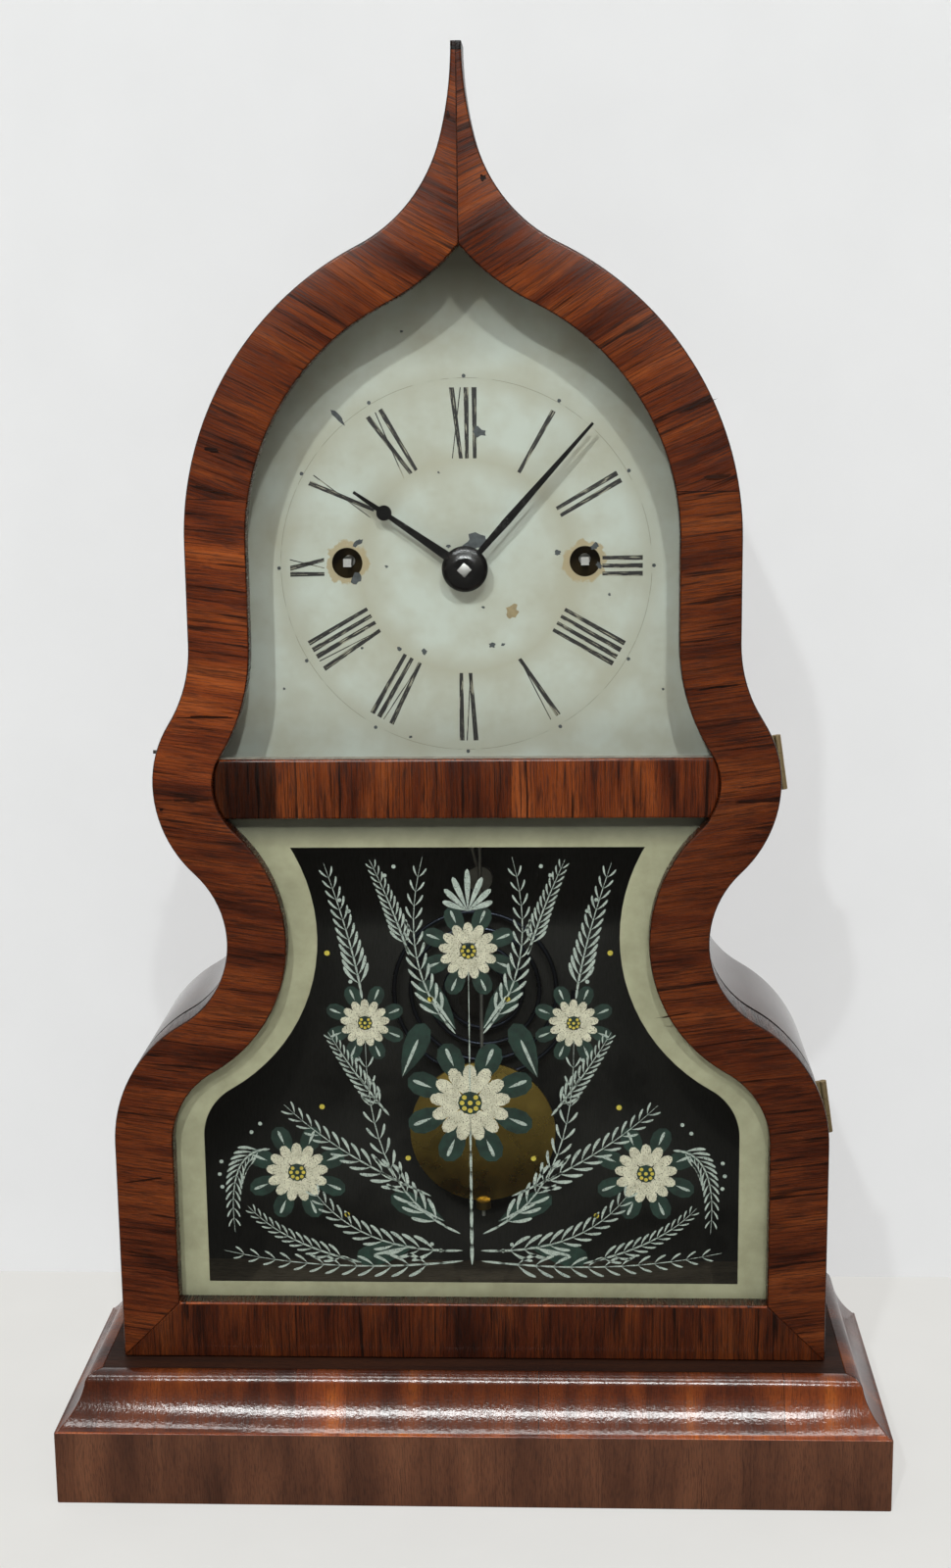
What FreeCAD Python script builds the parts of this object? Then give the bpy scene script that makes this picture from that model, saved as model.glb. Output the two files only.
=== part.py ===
"""Acorn shelf clock: a bentwood case and door on a moulded base, with an eight-day striking movement.

Millimetres, +Z up, front towards -Y, origin at the middle of the base's underside.
Every driving size is a cell of the sheet "dims"; the objects read those cells by expression.
"""
import FreeCAD, Part
import math
import os
import re

import Sketcher
from FreeCAD import Placement, Rotation, Vector

SIZES = {
    # Base: a plain core with an ogee moulding on three sides.
    "base_width": 369.0,
    "base_depth": 126.0,
    "base_height": 56.0,
    "fascia_height": 34.0,
    "fascia_ledge": 1.0,
    "cove_run": 11.0,
    "cove_rise": 18.0,
    "cove_radius": 28.8,
    "roll_run": 5.0,
    "roll_radius": 5.2,
    "moulding_depth": 19.0,
    # Outline of the case and door: half widths and heights where it runs upright, and its arcs.
    "height": 622.0,
    "foot_half_width": 157.7,
    "shoulder_level": 158.0,
    "shoulder_radius": 64.0,
    "waist_half_width": 104.5,
    "waist_level": 250.0,
    "waist_radius": 43.0,
    "bulge_half_width": 134.2,
    "bulge_level": 320.0,
    "bulge_radius": 49.0,
    "neck_half_width": 116.5,
    "neck_level": 380.0,
    "dome_level": 423.0,
    "spire_radius": 64.5,
    "tip_half_width": 2.2,
    "tip_radius": 142.0,
    "tip_turn": 15.3,
    # Case and door.
    "front_step": 29.0,
    "door_thickness": 23.4,
    "door_lift": 0.6,
    "seam": 0.6,
    "side_thickness": 8.0,
    "case_top_drop": 42.0,
    "back_thickness": 8.0,
    "floor_thickness": 8.0,
    "panel_clearance": 0.2,
    "frame_width": 26.0,
    "rail_level": 305.0,
    "rail_height": 26.0,
    "rail_recess": 1.5,
    "rail_web": 12.0,
    "sight_depth": 8.0,
    "rebate": 7.0,
    "glass_thickness": 2.0,
    "glass_clearance": 0.8,
    # Door hinges and latch.
    "hinge_standoff": 1.8,
    "hinge_length": 24.0,
    "hinge_upper_level": 325.0,
    "hinge_lower_level": 168.0,
    "hinge_barrel_radius": 1.6,
    "hinge_pin_radius": 0.8,
    "hinge_leaf_width": 9.0,
    "hinge_leaf_thickness": 1.2,
    "hinge_clearance": 0.15,
    "latch_level": 332.0,
    "latch_pin_setback": 16.0,
    "latch_pin_radius": 0.8,
    "latch_pin_depth": 8.0,
    "latch_reach": 24.0,
    "latch_standoff": 0.5,
    "latch_thickness": 0.9,
    "latch_bar": 3.0,
    "latch_screw_radius": 1.0,
    "latch_head_radius": 2.2,
    "latch_hang": 90.0,
    # Dial and hands.
    "dial_level": 409.6,
    "dial_front": 0.0,
    "dial_thickness": 0.8,
    "dial_clearance": 2.0,
    "dial_bottom_level": 313.0,
    "winding_x": 51.5,
    "winding_rise": 2.0,
    "winding_hole_radius": 6.65,
    "center_hole_radius": 5.2,
    "cleat_width": 12.0,
    "cleat_depth": 13.0,
    "cleat_length": 34.0,
    "dial_screw_radius": 1.2,
    "dial_screw_head": 2.4,
    "dial_screw_head_height": 1.0,
    "dial_screw_length": 7.0,
    "dial_screw_spacing": 22.0,
    "hand_thickness": 0.7,
    "hour_hand_length": 57.8,
    "hour_hand_width": 4.2,
    "hour_hand_neck": 1.1,
    "hour_spade_radius": 3.3,
    "hour_spade_reach": 42.0,
    "hour_hand_angle": 304.8,
    "minute_hand_length": 82.2,
    "minute_hand_width": 3.4,
    "hand_tip": 1.2,
    "minute_hand_angle": 41.9,
    "hour_hand_front": -7.6,
    "minute_hand_front": -10.0,
    "hand_hub_radius": 6.4,
    "collet_radius": 9.9,
    "collet_height": 3.4,
    # Movement frame.
    "plate_half_width": 74.0,
    "plate_half_height": 72.0,
    "plate_thickness": 2.0,
    "front_plate_front": 10.0,
    "plate_gap": 20.0,
    "pillar_radius": 4.0,
    "pillar_rise": 61.0,
    "window_radius": 15.0,
    "window_x": 34.0,
    "window_rise": 44.0,
    "batten_x": 50.0,
    "batten_width": 16.0,
    "movement_screw_radius": 1.8,
    "movement_screw_head": 3.6,
    "movement_screw_length": 14.0,
    "movement_screw_rise": 62.0,
    # Trains.
    "running_fit": 0.06,
    "end_shake": 0.4,
    "pivot_radius": 0.9,
    "great_teeth": 48.0,
    "great_pinion": 8.0,
    "great_module": 1.3,
    "second_teeth": 36.0,
    "center_pinion": 9.0,
    "second_module": 1.06,
    "center_teeth": 54.0,
    "third_pinion": 6.0,
    "center_module": 0.78,
    "third_teeth": 50.0,
    "escape_pinion": 6.0,
    "third_module": 0.77,
    "third_bearing": 58.3,
    "escape_teeth": 42.0,
    "escape_radius": 16.0,
    "escape_tooth_depth": 2.6,
    "escape_tooth_heel": 0.4,
    "escape_tooth_tip": 0.03,
    "escape_tooth_face": 0.25,
    "strike_second_teeth": 48.0,
    "strike_third_pinion": 6.0,
    "strike_second_module": 0.95,
    "strike_third_teeth": 42.0,
    "fly_pinion": 6.0,
    "strike_third_module": 0.87,
    "strike_second_bearing": -50.0,
    "strike_third_bearing": -9.9,
    "fly_bearing": -70.0,
    "motion_teeth": 36.0,
    "cannon_teeth": 12.0,
    "motion_module": 0.8,
    "hour_teeth": 40.0,
    "hour_pinion": 10.0,
    "motion_bearing": 225.0,
    "great_plane": 16.4,
    "second_plane": 12.8,
    "center_plane": 2.0,
    "third_plane": 8.0,
    "escape_plane": 15.0,
    "strike_third_plane": 6.0,
    "ratchet_plane": 13.4,
    "spring_plane": 1.5,
    "motion_plane": 3.0,
    "hour_plane": 6.0,
    "pinion_overlap": 0.7,
    "wheel_thickness": 1.5,
    "wheel_arms": 4.0,
    "arm_width": 3.0,
    "rim_width": 2.0,
    "hub_radius": 4.5,
    "great_thickness": 2.0,
    "arbor_radius": 1.3,
    "center_arbor_radius": 2.2,
    "arbor_tip": 1.6,
    "cannon_radius": 3.0,
    "hour_pipe_radius": 4.4,
    "winding_arbor_radius": 3.0,
    "winding_pivot_radius": 1.6,
    "winding_square": 3.5,
    "winding_front": 0.0,
    "ratchet_teeth": 14.0,
    "ratchet_radius": 7.2,
    "ratchet_depth": 1.2,
    "ratchet_thickness": 1.8,
    "ratchet_lean": 0.08,
    "click_clearance": 0.5,
    "click_width": 2.2,
    "spring_turns": 5.0,
    "spring_strip": 0.5,
    "spring_width": 10.0,
    "spring_clearance": 0.35,
    "spring_outer_radius": 21.8,
    "strike_pins": 8.0,
    "strike_pin_circle": 20.0,
    "strike_pin_radius": 0.6,
    "strike_pin_length": 1.5,
    "fly_radius": 12.0,
    "fly_thickness": 0.8,
    # Escapement and pendulum.
    "pendulum_x": 3.0,
    "pivot_rise": 57.6,
    "pallet_clearance": 0.75,
    "pallet_bearing": 56.0,
    "anchor_bend": 70.0,
    "anchor_rise": 3.4,
    "anchor_width": 1.8,
    "pendulum_setback": 4.0,
    "pendulum_length": 330.0,
    "rod_radius": 0.9,
    "bob_radius": 34.5,
    "bob_thickness": 9.0,
    "bob_edge": 2.0,
    "nut_radius": 3.6,
    "nut_height": 4.0,
    "suspension_strip": 0.4,
    "suspension_width": 3.2,
    "suspension_above": 5.0,
    "suspension_below": 10.0,
    "cock_width": 10.0,
    "cock_height": 8.0,
    "cock_rise": 1.5,
    "cock_slot_clearance": 0.5,
    "crutch_drop": 50.0,
    "crutch_wire": 1.2,
    "crutch_clearance": 0.3,
    # Strike.
    "gong_setback": 7.0,
    "gong_level": 200.0,
    "gong_wire_radius": 1.1,
    "gong_first_radius": 14.5,
    "gong_half_turns": 8.0,
    "gong_step": 4.0,
    "gong_block_radius": 8.0,
    "gong_bend_radius": 4.0,
    "hammer_x": -20.0,
    "hammer_drop": 60.0,
    "hammer_head_x": 2.5,
    "hammer_head_level": 259.0,
    "hammer_head_radius": 6.0,
    "hammer_head_length": 5.0,
    "hammer_wire_radius": 0.9,
    "hammer_tail": 13.0,
}

DOC = FreeCAD.newDocument("acorn_clock")
SHEET = DOC.addObject("Spreadsheet::Sheet", "dims")
for row, (alias, number) in enumerate(SIZES.items(), start=1):
    SHEET.set(f"A{row}", alias)
    SHEET.set(f"B{row}", str(number))
    SHEET.setAlias(f"B{row}", alias)
DOC.recompute()

NODES = []
FOUR_CORNERS = (("-", "-"), ("-", "+"), ("", "-"), ("", "+"))
WORD = re.compile(r"[a-z][a-z_]*\b(?!\()")
ALONG = {
    "x": Rotation(Vector(0, 1, 0), 90),
    "y": Rotation(Vector(1, 0, 0), -90),
    "z": Rotation(),
}


# Places that several pieces share, written as expressions of the sheet's cells.
DOOR_FRONT = "(front_step - base_depth / 2)"
DOOR_BACK = f"({DOOR_FRONT} + door_thickness)"
CASE_FRONT = f"({DOOR_BACK} + seam)"
CASE_BACK = "(base_depth / 2)"
BOARD_FRONT = f"({CASE_BACK} - back_thickness)"
DOOR_BOTTOM = "(base_height + door_lift)"
DIAL_BACK = "(dial_front + dial_thickness)"
PLATE_FRONT_BACK = "(front_plate_front + plate_thickness)"
PLATE_BACK_FRONT = f"({PLATE_FRONT_BACK} + plate_gap)"
PLATE_BACK_BACK = f"({PLATE_BACK_FRONT} + plate_thickness)"
PENDULUM_Y = f"({PLATE_BACK_BACK} + pendulum_setback)"
PIVOT_LEVEL = "(dial_level + pivot_rise)"
GONG_Y = f"({BOARD_FRONT} - gong_setback)"
CLEAT_LEVEL = "((neck_level + dome_level) / 2)"
PILLAR_X = "(winding_x + spring_outer_radius - pillar_radius - spring_strip)"
HOUR_MODULE = "(motion_module * (motion_teeth + cannon_teeth) / (hour_teeth + hour_pinion))"


def number(size):
    """Returns what an expression of the sheet's cells comes to; a number is passed on."""
    return float(SHEET.evalExpression(size)) if isinstance(size, str) else size


def bound(text):
    """Returns an expression with the sheet's name before each cell's alias."""
    return WORD.sub(lambda word: f"dims.{word.group()}" if word.group() in SIZES else word.group(), text)


def bind(piece, **sizes):
    """Ties properties of an object to expressions of the sheet's cells."""
    for name, text in sizes.items():
        piece.setExpression(name, bound(text))
    return piece


def place(piece, at):
    """Ties an object's position to three expressions."""
    for axis, text in zip("xyz", at):
        piece.setExpression(f"Placement.Base.{axis}", bound(text))
    return piece


def node(piece, label):
    """Registers an object as a sub-part under its own label."""
    piece.Label = label
    NODES.append(piece)
    return piece


def formed(label, shape):
    """Adds a sub-part whose shape is worked out from the sheet's sizes."""
    piece = DOC.addObject("Part::Feature", label)
    piece.Shape = shape
    return node(piece, label)


def cylinder(name, radius, length, at, axis="y"):
    """Adds a cylinder that starts at a point and runs along an axis."""
    piece = DOC.addObject("Part::Cylinder", name)
    piece.Placement = Placement(Vector(), ALONG[axis])
    bind(piece, Radius=radius, Height=length)
    return place(piece, at)


def box(name, size, at):
    """Adds a box with its least corner at a point."""
    piece = DOC.addObject("Part::Box", name)
    bind(piece, Length=size[0], Width=size[1], Height=size[2])
    return place(piece, at)


def joined(name, pieces):
    """Fuses objects, or gathers them where they lie apart."""
    piece = DOC.addObject("Part::MultiFuse", name)
    piece.Shapes = pieces
    return piece


def less(name, base, tool):
    """Cuts one object with another."""
    piece = DOC.addObject("Part::Cut", name)
    piece.Base = base
    piece.Tool = tool
    return piece


def plane_of(body, role):
    """Returns one of a body's own origin planes."""
    return [feature for feature in body.Origin.OriginFeatures if feature.Role == role][0]


def new_sketch(body, name, role):
    """Adds a sketch on one of a body's origin planes."""
    sketch = body.newObject("Sketcher::SketchObject", name)
    sketch.AttachmentSupport = [(plane_of(body, role), "")]
    sketch.MapMode = "FlatFace"
    return sketch


def tie(sketch, name, size):
    """Ties a named constraint to an expression; a solved place stays a number."""
    if isinstance(size, str):
        sketch.setExpression(f"Constraints.{name}", bound(size))


def pin_point(sketch, name, geometry, end, at):
    """Sets a sketch point's coordinates by two expressions or solved numbers."""
    for kind, letter, size in zip(("DistanceX", "DistanceY"), "xy", at):
        index = sketch.addConstraint(Sketcher.Constraint(kind, -1, 1, geometry, end, number(size)))
        sketch.renameConstraint(index, name + letter)
        tie(sketch, name + letter, size)


def arc_between(start, end, radius):
    """Returns the short arc between two points, anticlockwise for a positive radius."""
    chord = end - start
    lift = math.sqrt(radius ** 2 - (chord.Length / 2) ** 2)
    side = Vector(-chord.y, chord.x, 0).normalize() * math.copysign(lift, radius)
    center = (start + end) / 2 + side
    first, last = (start, end) if radius > 0 else (end, start)
    angles = [math.atan2(point.y - center.y, point.x - center.x) for point in (first, last)]
    return Part.ArcOfCircle(Part.Circle(center, Vector(0, 0, 1), abs(radius)), *angles)


def draw(sketch, corners):
    """Draws a closed outline: each corner is x, y and, where an arc leaves it, the arc's radius."""
    points = [Vector(number(corner[0]), number(corner[1]), 0) for corner in corners]
    ends = []
    for index, corner in enumerate(corners):
        start = points[index]
        end = points[(index + 1) % len(points)]
        if len(corner) == 2:
            sketch.addGeometry(Part.LineSegment(start, end))
            ends.append((1, 2))
            continue
        radius = number(corner[2])
        edge = sketch.addGeometry(arc_between(start, end, radius))
        ends.append((1, 2) if radius > 0 else (2, 1))
        size = sketch.addConstraint(Sketcher.Constraint("Radius", edge, abs(radius)))
        sketch.renameConstraint(size, f"r{index}")
        sketch.setExpression(f"Constraints.r{index}", bound(f"abs({corner[2]})"))
    for index in range(len(corners)):
        follower = (index + 1) % len(corners)
        sketch.addConstraint(
            Sketcher.Constraint("Coincident", index, ends[index][1], follower, ends[follower][0]))
        pin_point(sketch, f"p{index}", index, ends[index][0], corners[index])
    return sketch


def pad_body(label, corners, front, back):
    """Makes a body by padding an outline in X and Z between two depths."""
    body = DOC.addObject("PartDesign::Body", label)
    sketch = new_sketch(body, f"{label}_outline", "XZ_Plane")
    sketch.setExpression("AttachmentOffset.Base.z", bound(f"-({back})"))
    draw(sketch, corners)
    pad = body.newObject("PartDesign::Pad", f"{label}_pad")
    pad.Profile = sketch
    bind(pad, Length=f"{back} - {front}")
    return node(body, label)


def drill(body, name, holes, role="XZ_Plane"):
    """Cuts round holes right through a body, each given by its place in the plane and its radius."""
    sketch = new_sketch(body, f"{name}_circles", role)
    for index, (across, up, radius) in enumerate(holes):
        center = Vector(number(across), number(up), 0)
        circle = sketch.addGeometry(Part.Circle(center, Vector(0, 0, 1), number(radius)))
        pin_point(sketch, f"c{index}", circle, 3, (across, up))
        size = sketch.addConstraint(Sketcher.Constraint("Radius", circle, number(radius)))
        sketch.renameConstraint(size, f"r{index}")
        tie(sketch, f"r{index}", radius)
    cut_through(body, name, sketch)


def cut_through(body, name, sketch):
    """Pockets a sketch through a body both ways."""
    pocket = body.newObject("PartDesign::Pocket", name)
    pocket.Profile = sketch
    pocket.Type = "ThroughAll"
    pocket.SideType = "Symmetric"
    return pocket


def turned_body(label, corners, across, level):
    """Makes a body by turning a profile of radius and depth about an axis that runs from front to back."""
    body = DOC.addObject("PartDesign::Body", label)
    sketch = draw(new_sketch(body, f"{label}_profile", "XY_Plane"), corners)
    turn = body.newObject("PartDesign::Revolution", f"{label}_turn")
    turn.Profile = sketch
    turn.ReferenceAxis = (sketch, ["V_Axis"])
    turn.Angle = 360
    place(body, (across, "0", level))
    return node(body, label)


# Shapes for the pieces that follow the acorn outline.
def rod(radius, start, end):
    """Returns a cylinder between two points."""
    run = end - start
    return Part.makeCylinder(radius, run.Length, start, run)


def block(low, high):
    """Returns a box between two corners."""
    return Part.makeBox(high.x - low.x, high.y - low.y, high.z - low.z, low)


def mirrored(shape):
    """Returns a shape's mirror image in the clock's middle plane."""
    return shape.mirror(Vector(), Vector(1, 0, 0))


class Acorn:
    """The right half of the outline, bottom to tip, as tangent arcs between upright stretches."""

    def __init__(self):
        """Solves the arcs from the sheet's half widths, levels and radii."""
        self.foot = number("foot_half_width")
        self.tip = number("tip_half_width")
        self.height = number("height")
        self.arcs = []
        self.double(("foot", "shoulder"), ("waist", "waist"), number("shoulder_radius"))
        self.double(("waist", "waist"), ("bulge", "bulge"), number("waist_radius"))
        self.double(("bulge", "bulge"), ("neck", "neck"), number("bulge_radius"))
        self.dome()

    def double(self, low, high, radius):
        """Adds two arcs that leave one upright stretch and reach the next.

        Args:
            low: names of the lower half width and level.
            high: names of the upper half width and level.
            radius: the lower arc's radius.
        """
        low_x, low_z = number(f"{low[0]}_half_width"), number(f"{low[1]}_level")
        high_x, high_z = number(f"{high[0]}_half_width"), number(f"{high[1]}_level")
        turn = 2 * math.atan2(abs(high_x - low_x), high_z - low_z)
        other = (high_z - low_z) / math.sin(turn) - radius
        if high_x < low_x:
            self.arcs.append((low_x - radius, low_z, radius, 0, turn))
            self.arcs.append((high_x + other, high_z, -other, math.pi + turn, math.pi))
        else:
            self.arcs.append((low_x + radius, low_z, -radius, math.pi, math.pi - turn))
            self.arcs.append((high_x - other, high_z, other, -turn, 0))

    def dome(self):
        """Adds the dome, the spire's hollow and the slender tip."""
        neck, level = number("neck_half_width"), number("dome_level")
        hollow, slender = number("spire_radius"), number("tip_radius")
        lean = math.radians(number("tip_turn"))
        across = neck - self.tip - (slender - hollow) * (1 - math.cos(lean))
        up = self.height - level - (slender - hollow) * math.sin(lean)
        turn = 2 * math.atan2(across, up)
        radius = up / math.sin(turn) - hollow
        shift = slender - hollow
        center = (self.tip + slender - shift * math.cos(lean), self.height - shift * math.sin(lean))
        self.arcs.append((neck - radius, level, radius, 0, turn))
        self.arcs.append((center[0], center[1], -hollow, math.pi + turn, math.pi + lean))
        self.arcs.append((self.tip + slender, self.height, -slender, math.pi + lean, math.pi))

    def half(self, inset, bottom, front, back):
        """Returns the solid right of the middle plane and within an inset outline.

        Args:
            inset: how far inside the outline the edge runs.
            bottom: the level of its lower edge.
            front: its front face's depth.
            back: its back face's depth.
        """
        corner = Vector(self.foot - inset, front, bottom)
        edges = []
        last = corner
        for x, z, radius, first, final in self.arcs:
            reach = abs(radius - inset)
            stops = (first, (first + final) / 2, final)
            points = [Vector(x + reach * math.cos(a), front, z + reach * math.sin(a)) for a in stops]
            if (points[0] - last).Length > 0.001:
                edges.append(Part.makeLine(last, points[0]))
            edges.append(Part.Arc(*points).toShape())
            last = points[2]
        beyond = -inset - self.foot
        closing = [last, Vector(beyond, front, self.height), Vector(beyond, front, bottom), corner]
        edges += [Part.makeLine(*pair) for pair in zip(closing, closing[1:])]
        blank = Part.Face(Part.Wire(edges)).extrude(Vector(0, back - front, 0))
        right = block(Vector(0, front, bottom), Vector(self.foot, back, self.height))
        return blank.common(right)

    def whole(self, inset, bottom, front, back):
        """Returns the solid within an inset outline on both sides."""
        right = self.half(inset, bottom, front, back)
        return right.fuse(mirrored(right)).removeSplitter()


ACORN = Acorn()


def hinge_frame():
    """Returns a point on the door's hinge axis at the bulge, its upward direction and its outward one.

    The axis lies in the seam, outside the line that touches both the bulge and the lower shoulder.
    """
    low_radius, high_radius = number("shoulder_radius"), number("bulge_radius")
    low = Vector(number("foot_half_width") - low_radius, 0, number("shoulder_level"))
    high = Vector(number("bulge_half_width") - high_radius, 0, number("bulge_level"))
    span = high - low
    lean = math.asin((low_radius - high_radius) / span.Length) - math.atan2(span.x, span.z)
    outward = Vector(math.cos(lean), 0, math.sin(lean))
    upward = Vector(-math.sin(lean), 0, math.cos(lean))
    start = high + outward * (high_radius + number("hinge_standoff"))
    start.y = number(f"{DOOR_BACK} + seam / 2")
    return start, upward, outward


HINGE_POINT, HINGE_UP, HINGE_OUT = hinge_frame()
HINGE_LEVELS = (number("hinge_upper_level"), number("hinge_lower_level"))


def hinge_box(level, inner, front, back, length):
    """Returns a slab beside the hinge axis, centred at a level and as long as given."""
    half = length / 2
    center = HINGE_POINT + HINGE_UP * ((level - HINGE_POINT.z) / HINGE_UP.z)
    slab = block(Vector(-inner, front, -half), Vector(0, back, half))
    slab.Placement = Placement(center, Rotation(HINGE_OUT, Vector(0, 1, 0), HINGE_UP, "ZXY"))
    return slab


def hinge_rod(level, radius, low, high):
    """Returns a cylinder on the hinge axis between two distances from a level."""
    center = HINGE_POINT + HINGE_UP * ((level - HINGE_POINT.z) / HINGE_UP.z)
    return rod(radius, center + HINGE_UP * low, center + HINGE_UP * high)


def hinge_leaves(front, back, outer):
    """Returns the two leaves on one side of the seam, each with its knuckles.

    Args:
        front: depth of the leaf's front face from the axis.
        back: depth of its back face.
        outer: true where the leaf has the two end knuckles, false where it has the middle one.
    """
    length, gap = number("hinge_length"), number("hinge_clearance")
    radius, pin = number("hinge_barrel_radius"), number("hinge_pin_radius")
    third = length / 6
    ends = [(-length / 2, -third - gap), (third + gap, length / 2)]
    middle = [(-third, third)]
    own, others = (ends, middle) if outer else (middle, ends)
    bore = pin if outer else pin + number("running_fit")
    leaves = []
    for level in HINGE_LEVELS:
        leaf = hinge_box(level, number("hinge_leaf_width"), front, back, length)
        for low, high in others:
            leaf = leaf.cut(hinge_rod(level, radius + 2 * gap, low - gap, high + gap))
        for low, high in own:
            leaf = leaf.fuse(hinge_rod(level, radius, low, high))
        leaf = leaf.cut(hinge_rod(level, bore, -length, length)).removeSplitter()
        leaves.append(leaf)
    return leaves


def base():
    """Makes the core and the three mitred mouldings."""
    core_width = "(base_width - 2 * moulding_depth)"
    core = box("base_core", (core_width, "base_depth - moulding_depth", "base_height"),
               (f"-{core_width} / 2", "moulding_depth - base_depth / 2", "0"))
    node(core, "base_core")
    runs = ("0", "0", "fascia_ledge", "fascia_ledge + cove_run",
            "fascia_ledge + cove_run + roll_run", "moulding_depth", "moulding_depth")
    rises = ("0", "fascia_height", "fascia_height", "fascia_height + cove_rise",
             "base_height", "base_height", "0")
    front_edge = "(-base_depth / 2)"
    side_edge = "(base_width / 2)"
    front = DOC.addObject("PartDesign::Body", "base_front_moulding")
    arcs = {2: "cove_radius", 3: "-roll_radius"}
    corners = [(f"{front_edge} + {run}", rise) + ((arcs[i],) if i in arcs else ())
               for i, (run, rise) in enumerate(zip(runs, rises))]
    profile = draw(new_sketch(front, "front_profile", "YZ_Plane"), corners)
    pad = front.newObject("PartDesign::Pad", "front_pad")
    pad.Profile = profile
    pad.SideType = "Symmetric"
    bind(pad, Length="base_width")
    inner_edge = f"({front_edge} + moulding_depth)"
    for name, side in (("left", "-"), ("right", "")):
        outer = f"{side}{side_edge}"
        inner = f"{side}({side_edge} - moulding_depth)"
        mitre = new_sketch(front, f"front_{name}_mitre", "XY_Plane")
        draw(mitre, [(outer, front_edge), (inner, inner_edge), (outer, inner_edge)])
        cut_through(front, f"front_{name}_cut", mitre)
    node(front, "base_front_moulding")
    for name, side in (("left", "-"), ("right", "")):
        turns = {index: text if side else f"-({text})" for index, text in arcs.items()}
        corners = [(f"{side}({side_edge} - ({run}))", rise) + ((turns[i],) if i in turns else ())
                   for i, (run, rise) in enumerate(zip(runs, rises))]
        moulding = pad_body(f"base_{name}_moulding", corners, front_edge, CASE_BACK)
        outer = f"{side}{side_edge}"
        inner = f"{side}({side_edge} - moulding_depth)"
        mitre = new_sketch(moulding, f"{name}_mitre", "XY_Plane")
        draw(mitre, [(outer, front_edge), (inner, front_edge), (inner, inner_edge)])
        cut_through(moulding, f"{name}_cut", mitre)


def dial_screw_places():
    """Returns where the dial's screws go, as points on its back."""
    across = number("neck_half_width - side_thickness - cleat_width / 2")
    half = number("dial_screw_spacing / 2")
    return [Vector(side * across, number(DIAL_BACK), number(CLEAT_LEVEL) + rise)
            for side in (-1, 1) for rise in (-half, half)]


def latch_points():
    """Returns the latch pin's and the hook pivot's places, on the outline's widest upright."""
    front = number(f"{DOOR_FRONT} + latch_pin_setback")
    pin = Vector(-number("bulge_half_width"), front, number("latch_level"))
    return pin, pin + Vector(0, number("latch_reach"), 0)


def case():
    """Makes the bent sides, floor, back board, cleats and battens."""
    front, back = number(CASE_FRONT), number(CASE_BACK)
    thickness, bottom = number("side_thickness"), number("base_height")
    foot, top = number("foot_half_width"), number("height - case_top_drop")
    under = block(Vector(-foot, front, bottom), Vector(foot, back, top))
    side = ACORN.half(0, bottom, front, back).cut(ACORN.half(thickness, bottom, front, back)).common(under)
    pivot = latch_points()[1]
    screw = rod(number("latch_screw_radius"), pivot, pivot + Vector(number("latch_pin_depth"), 0, 0))
    formed("case_left_side", mirrored(side).cut(screw))
    depth = number("hinge_leaf_thickness")
    for level in HINGE_LEVELS:
        mortise = hinge_box(level, number("hinge_leaf_width"), -depth, depth, number("hinge_length"))
        side = side.cut(mortise)
    formed("case_right_side", side)
    inset = number("side_thickness + panel_clearance")
    board = ACORN.whole(inset, bottom, number(BOARD_FRONT), back)
    formed("back_board", board.common(under))
    width = "(2 * (foot_half_width - side_thickness))"
    floor = box("case_floor", (width, f"{BOARD_FRONT} - {CASE_FRONT}", "floor_thickness"),
                (f"-{width} / 2", CASE_FRONT, "base_height"))
    node(floor, "case_floor")
    inner = "(neck_half_width - side_thickness)"
    cleats = []
    for name, start in (("left", f"-{inner}"), ("right", f"{inner} - cleat_width")):
        cleats.append(box(f"cleat_{name}", ("cleat_width", "cleat_depth", "cleat_length"),
                          (start, DIAL_BACK, f"{CLEAT_LEVEL} - cleat_length / 2")))
    holes = []
    for side, rise in FOUR_CORNERS:
        level = f"{CLEAT_LEVEL} {rise} dial_screw_spacing / 2"
        spot = (f"{side}({inner} - cleat_width / 2)", DIAL_BACK, level)
        holes.append(cylinder(f"cleat_hole_{len(holes)}", "dial_screw_radius", "dial_screw_length", spot))
    node(less("dial_cleats", joined("cleat_pair", cleats), joined("cleat_holes", holes)), "dial_cleats")
    battens = []
    holes = []
    size = ("batten_width", f"{BOARD_FRONT} - {PLATE_BACK_BACK}", "2 * plate_half_height")
    for name, middle in (("left", "-batten_x"), ("right", "batten_x")):
        corner = (f"{middle} - batten_width / 2", PLATE_BACK_BACK, "dial_level - plate_half_height")
        battens.append(box(f"batten_{name}", size, corner))
        for end, rise in (("low", "-"), ("high", "+")):
            holes.append(cylinder(f"batten_hole_{name}_{end}", "movement_screw_radius",
                                  "movement_screw_length - plate_thickness",
                                  (middle, PLATE_BACK_BACK, f"dial_level {rise} movement_screw_rise")))
    node(less("movement_battens", joined("batten_pair", battens), joined("batten_holes", holes)),
         "movement_battens")


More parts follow.
